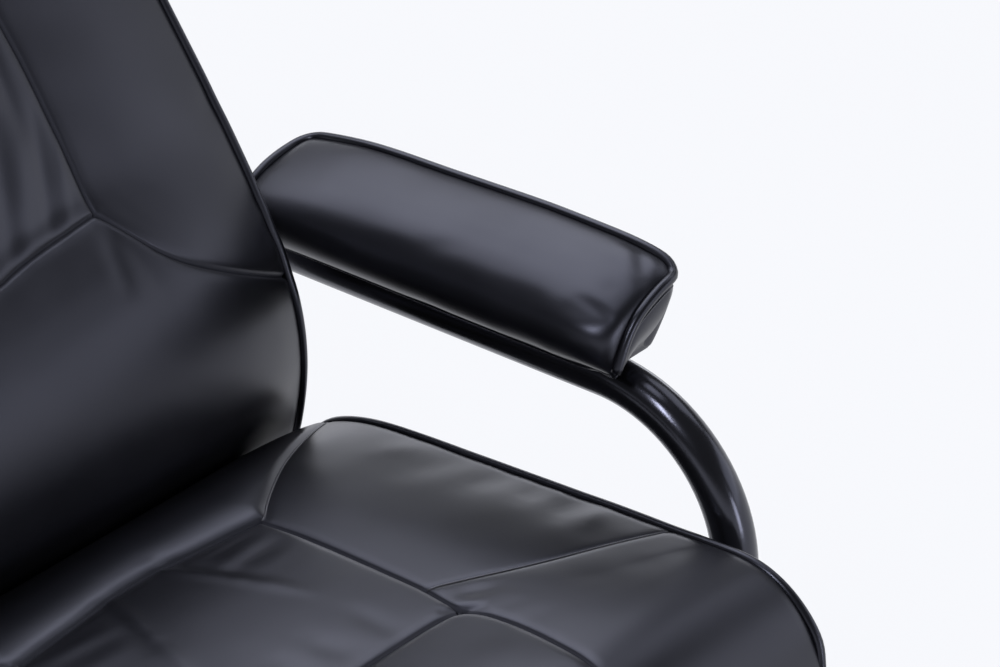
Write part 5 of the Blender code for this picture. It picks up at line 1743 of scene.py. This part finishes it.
def stool_place(i, j, k):
    half = STOOL_COLUMNS // 2
    n = abs(i - half)
    side = -1 if i < half else 1
    if n < len(STOOL_CENTRE):
        x = STOOL_SEAM * STOOL_CENTRE[n]
    else:
        x = mix(STOOL_SEAM, STOOL_HALF, STOOL_OUTER[n - len(STOOL_CENTRE) + 1])
    y = mix(-STOOL_DEEP, STOOL_DEEP, STOOL_ALONG[j])
    crown = STOOL_CROWN * (1 - (x / STOOL_HALF) ** 4) * (1 - (y / STOOL_DEEP) ** 4)
    gap, end = round_corner(STOOL_HALF - x, STOOL_DEEP - abs(y), STOOL_CORNER)
    x = STOOL_HALF - gap
    y = math.copysign(STOOL_DEEP - end, y)
    f = k / STOOL_LEVELS
    pull = 1 - STOOL_TUCK * (1 - f) ** 3 + STOOL_BULGE * math.sin(math.pi * f)
    height = STOOL_EDGE * f + (crown if k == STOOL_LEVELS else 0.0)
    return Vector((side * x * pull, STOOL_Y + y * pull, STOOL_BOTTOM + height))


def stool_rim(level):
    front = [(i, 0, level) for i in range(STOOL_COLUMNS)]
    left = [(STOOL_COLUMNS, j, level) for j in range(STOOL_ROWS)]
    rear = [(i, STOOL_ROWS, level) for i in range(STOOL_COLUMNS, 0, -1)]
    right = [(0, j, level) for j in range(STOOL_ROWS, 0, -1)]
    return front + left + rear + right


stool, stool_spots = sew_block(
    "stool_cushion_cover", STOOL_COLUMNS, STOOL_ROWS, STOOL_LEVELS, stool_place
)
rim_set = set(stool_rim(STOOL_LEVELS))
stool_edge = np.array([tuple(spot) in rim_set for spot in stool_spots.tolist()])
stool_top = stool_spots[:, 2] == STOOL_LEVELS
out = np.abs(stool_spots[:, 0] - STOOL_COLUMNS // 2)
stool_seams = stool_top & (out == len(STOOL_CENTRE) - 1)
mark(stool, "top", stool_top)
mark(stool, "seams", stool_seams)
mark(stool, "edges", stool_edge)
rim_set = set(stool_rim(0))
stool_lower = np.array([tuple(spot) in rim_set for spot in stool_spots.tolist()])
mark(stool, "lower", stool_lower)
mark(stool, "pinned", stool_edge | stool_seams | (stool_spots[:, 2] == 0))
crease_lines(stool, stool_edge | stool_lower)
moved = stuff(stool, np.where(stool_top, *STOOL_SWELL))
soften(stool)
draw_in(stool, "seams", *STOOL_SEAM_ROLL)
draw_in(stool, "seams", *STOOL_SEAM_CREASE)
dull_crease(stool, "seams", CREASE)
draw_in(stool, "edges", *EDGE_ROLL)
stool_flat = points_of(stool.data)[:, :2] - np.array([0, STOOL_Y])
press_folds(stool, stool_flat, STOOL_FOLDS + mirrored(STOOL_FOLDS))
dress(stool, LEATHER, "stool", "leather", "stool_cushion")
stool_lines = []
for level, group in ((STOOL_LEVELS, "edges"), (0, "lower")):
    line = rim_line(stool_place, stool_rim(level) + stool_rim(level)[:1])
    line = line_on(stool, group, line, STOOL_PIPE_LIFT, rounds=STOOL_PIPE_ROUNDS)
    stool_lines.append(line)
stool_piping = sweep("stool_piping", stool_lines, PIPE)
dress(stool_piping, PIPING_PAINTED_SHADE, "stool", "leather")
print("stool moved", [round(m * 1000, 1) for m in moved], "mm")

# %% [markdown]
# The arm tubes are bent from one length of steel tube: straight under the pad, round a wide bend to
# the front and back below the seat. The sweep gives them a smooth skin in place of the solids'
# flats.

# %% Arm tubes
ARM_TUBE = 0.0175
ARM_TOP_Z = 0.5550
ARM_FOOT_Z = 0.3013
ARM_BEND = 0.1265
ARM_BEND_Y = -0.072
ARM_REAR = 0.268
ARM_FOOT_REAR = 0.160
TUBE_END = 0.002
BEND_STEPS = 48
TUBE_SIDES = 40


def tube_line(side):
    """The tube's middle line: from its rear end round the bend to the rear end below the seat."""
    x = side * ARM_X
    line = [(x, ARM_REAR, ARM_TOP_Z), (x, ARM_REAR - TUBE_END, ARM_TOP_Z)]
    middle = ARM_TOP_Z - ARM_BEND
    for n in range(BEND_STEPS + 1):
        a = math.pi / 2 + math.pi * n / BEND_STEPS
        centre = middle if n <= BEND_STEPS // 2 else ARM_FOOT_Z + ARM_BEND
        line.append((x, ARM_BEND_Y + ARM_BEND * math.cos(a), centre + ARM_BEND * math.sin(a)))
    line.append((x, ARM_FOOT_REAR - TUBE_END, ARM_FOOT_Z))
    line.append((x, ARM_FOOT_REAR, ARM_FOOT_Z))
    return [Vector((px, AXIS_Y + py, pz)) for px, py, pz in line]


for label, side in (("left", 1), ("right", -1)):
    tube = sweep(f"arm_tube_skin_{label}", [tube_line(side)], ARM_TUBE, TUBE_SIDES)
    dress(tube, PAINT, "seat", "black_paint", f"arm_tube_{label}")
    print("arm tube", label, "faces", len(tube.data.polygons))

# %% [markdown]
# Round steel would show its flats in a close view, so the two floor rings get turned twins. The
# open tube ends get moulded plugs, and bolts hold the swivel plate. A turned piece is a profile of
# (radius, height) points spun round an axis and then set in its places.

# %% Rings, plugs and bolts
RING_SLACK = 0.0002
RING_SECTION = 28
RING_STEPS = 120
PLUG = [
    (0.0, 0.0040), (0.0080, 0.0037), (0.0135, 0.0028), (0.0164, 0.0014), (0.0170, 0.0003),
    (0.0, 0.0003),
]
PLUG_STEPS = 36
BOLT = [
    (0.0, 0.0050), (0.0030, 0.0048), (0.0058, 0.0036), (0.0070, 0.0020), (0.0085, 0.0014),
    (0.0085, 0.0002), (0.0, 0.0002),
]
BOLT_STEPS = 24
BOLT_INSET = 0.022


def turn_piece(name, profile, places, steps, closed=False):
    """Spins a profile round the upright axis, once for each place."""
    bm = bmesh.new()
    for place in places:
        points = [bmesh.ops.create_vert(bm, co=(r, 0.0, z))["vert"][0] for r, z in profile]
        pairs = list(zip(points, points[1:])) + ([(points[-1], points[0])] if closed else [])
        edges = [bmesh.ops.contextual_create(bm, geom=pair)["edges"][0] for pair in pairs]
        before = set(bm.verts) - set(points)
        bmesh.ops.spin(
            bm, geom=points + edges, axis=(0, 0, 1), cent=(0, 0, 0), angle=2 * math.pi,
            steps=steps, use_merge=True,
        )
        made = [vert for vert in bm.verts if vert not in before]
        bmesh.ops.remove_doubles(bm, verts=made, dist=1e-6)
        made = [vert for vert in bm.verts if vert not in before]
        bmesh.ops.transform(bm, matrix=place, verts=made)
    return to_object(name, bm)


def ring_twin(node, body):
    """A smooth twin of a floor ring, measured from its solid."""
    low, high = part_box(node)
    tube = (high.z - low.z) / 2
    radius = (high.x - low.x) / 2 - tube
    middle = (low + high) / 2
    skin = tube - RING_SLACK
    turns = [2 * math.pi * n / RING_SECTION for n in range(RING_SECTION)]
    section = [(radius + skin * math.cos(a), skin * math.sin(a)) for a in turns]
    place = Matrix.Translation(middle)
    ring = turn_piece(f"{node}_skin", section, [place], RING_STEPS, closed=True)
    dress(ring, PAINT, body, "black_paint", node)
    faces = len(ring.data.polygons)
    print(node, "radius", round(radius, 4), "tube", round(tube, 4), "faces", faces)


ring_twin("base_ring", "base")
ring_twin("stool_ring", "stool")
TO_REAR = Matrix.Rotation(math.radians(-90), 4, "X")
plug_places = [
    Matrix.Translation((side * ARM_X, AXIS_Y + y, z)) @ TO_REAR
    for side in (1, -1) for y, z in ((ARM_REAR, ARM_TOP_Z), (ARM_FOOT_REAR, ARM_FOOT_Z))
]
plugs = turn_piece("arm_tube_plugs", PLUG, plug_places, PLUG_STEPS)
dress(plugs, BLACK_PLASTIC, "seat", "black_plastic")
plate_low, plate_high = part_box("swivel_plate")
bolt_places = [
    Matrix.Translation((x, y, plate_low.z)) @ Matrix.Rotation(math.pi, 4, "X")
    for x in (plate_low.x + BOLT_INSET, plate_high.x - BOLT_INSET)
    for y in (plate_low.y + BOLT_INSET, plate_high.y - BOLT_INSET)
]
bolts = turn_piece("swivel_plate_bolts", BOLT, bolt_places, BOLT_STEPS)
dress(bolts, STEEL, "seat", "bright_steel")
print("plugs", len(plug_places), "bolts", len(bolt_places))

# %% [markdown]
# The handset's pocket is a soft leather pouch beside the seat. A rounded ring of points is drawn up
# in steps with a slack belly, turned over at the mouth and taken down again inside, so the pouch is
# one closed shell with a real room in it.

# %% Handset pocket: its shape
pocket_low, pocket_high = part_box("handset_pocket")
POCKET_ROUND = 0.013
POCKET_BELLY = 0.0030
POCKET_LIP = 0.0012
POCKET_SAG = 0.0016
POCKET_WAVES = 6
POCKET_SQUARE_X = 0.30
POCKET_SQUARE_Y = 0.55
POCKET_POINTS = 48
# (share of the height, depth inside the outline), up the outside and down the inside
POCKET_OUTSIDE = [
    (0.0, 0.0060), (0.015, 0.0022), (0.06, 0.0005), (0.14, 0), (0.28, 0), (0.44, 0), (0.60, 0),
    (0.76, 0), (0.90, 0), (0.97, 0), (0.995, 0.0005),
]
POCKET_INSIDE = [
    (0.995, 0.0020), (0.96, 0.0026), (0.80, 0.0026), (0.60, 0.0026), (0.40, 0.0026),
    (0.20, 0.0026), (0.07, 0.0032), (0.045, 0.0070),
]


def rounded(value, power):
    """Keeps the sign of a value and squares off its swing."""
    return math.copysign(abs(value) ** power, value)


def pocket_point(n, rise, inset):
    """A point of the pouch: its place round the ring, its share of the height, its depth."""
    middle = (pocket_low + pocket_high) / 2
    half_x = (pocket_high.x - pocket_low.x) / 2 - inset
    half_y = (pocket_high.y - pocket_low.y) / 2 - inset
    a = 2 * math.pi * (n + 0.5) / POCKET_POINTS
    reach = POCKET_ROUND - min(inset, POCKET_ROUND * 0.6)
    x = rounded(math.cos(a), POCKET_SQUARE_X) * half_x
    y = rounded(math.sin(a), POCKET_SQUARE_Y) * half_y
    slack = POCKET_BELLY * math.sin(math.pi * min(1.0, rise * 1.15)) ** 1.4
    if x < 0:
        x -= slack * (1 - (y / half_y) ** 2)
        x -= POCKET_LIP * ease((rise - 0.8) / 0.2) * (1 - (y / half_y) ** 2)
    wave = math.sin(math.pi * n / POCKET_POINTS * POCKET_WAVES)
    sag = POCKET_SAG * wave * ease((rise - 0.9) / 0.1)
    z = mix(pocket_low.z, pocket_high.z, rise) - abs(sag) * reach / POCKET_ROUND
    return Vector((middle.x + x, middle.y + y, z))


def sew_pouch(name):
    """The pouch's shell: each row of points is extruded from the one before and set in place."""
    bm = bmesh.new()
    ring = bmesh.ops.create_circle(bm, cap_ends=False, segments=POCKET_POINTS, radius=1.0)["verts"]
    number = {vert: n for n, vert in enumerate(ring)}
    edges = list({edge for vert in ring for edge in vert.link_edges})
    first = edges
    rows = POCKET_OUTSIDE + POCKET_INSIDE
    for vert, n in number.items():
        vert.co = pocket_point(n, *rows[0])
    for rise, inset in rows[1:]:
        made = bmesh.ops.extrude_edge_only(bm, edges=edges)["geom"]
        edges = [g for g in made if isinstance(g, bmesh.types.BMEdge) and g.is_boundary]
        fresh = {}
        for vert in [g for g in made if isinstance(g, bmesh.types.BMVert)]:
            neighbours = [edge.other_vert(vert) for edge in vert.link_edges]
            fresh[vert] = next(number[below] for below in neighbours if below in number)
        for vert, n in fresh.items():
            vert.co = pocket_point(n, rise, inset)
        number = fresh
    bmesh.ops.edgeloop_fill(bm, edges=first)
    bmesh.ops.edgeloop_fill(bm, edges=edges)
    return to_object(name, bm)


print("pouch rows", len(POCKET_OUTSIDE) + len(POCKET_INSIDE), "of", POCKET_POINTS, "points")

# %% [markdown]
# The hem is one round sweep at the mouth. A stitch is a short thread with a raised middle, and the
# row of them goes round the pouch below the hem.

# %% Handset pocket: hem and stitches
HEM = 0.0017
HEM_RISE, HEM_INSET = 0.985, 0.0012
STITCH = 0.00045
STITCH_RISE = 0.90
STITCH_LIFT = 0.0002
STITCH_LENGTH = 0.0026
STITCH_PITCH = 0.0042


def pocket_ring(rise, inset):
    return [pocket_point(n % POCKET_POINTS, rise, inset) for n in range(POCKET_POINTS + 1)]


def stitches_along(line, lift):
    """Short threads laid end to end along a line, each lifted outward a little."""
    found = []
    middle = sum(line, Vector()) / len(line)
    marks = even_line(line, STITCH_PITCH)
    for start, end in zip(marks, marks[1:]):
        out = start - middle
        out.z = 0
        out = out.normalized() * lift
        run = (end - start).normalized() * STITCH_LENGTH
        found.append([start + out, start + out * 1.6 + run / 2, start + out + run])
    return found


pocket = sew_pouch("handset_pouch")
soften(pocket, 1)
dress(pocket, LEATHER, "seat", "leather", "handset_pocket")
hem = sweep("handset_pouch_hem", [pocket_ring(HEM_RISE, HEM_INSET)], HEM, 10)
dress(hem, PIPING_PAINTED_SHADE, "seat", "leather")
stitch_lines = stitches_along(pocket_ring(STITCH_RISE, 0.0), STITCH_LIFT)
threads = sweep("handset_pouch_stitches", stitch_lines, STITCH, 6)
dress(threads, THREAD, "seat", "leather")
print("pouch faces", len(pocket.data.polygons), "stitches", len(stitch_lines))

# %% [markdown]
# All other solids have the right shape and keep it. Each takes the finish of the material slot that
# the record gives it.

# %% Finishes on the kept solids
SLOT_OF = {row["node"]: row["material_slot"] for row in frame["record"]["subparts"]}
for name, obj in NODES.items():
    for slot in obj.material_slots:
        slot.material = SLOT_FINISH[SLOT_OF[name]]
print("solids finished", len(NODES))
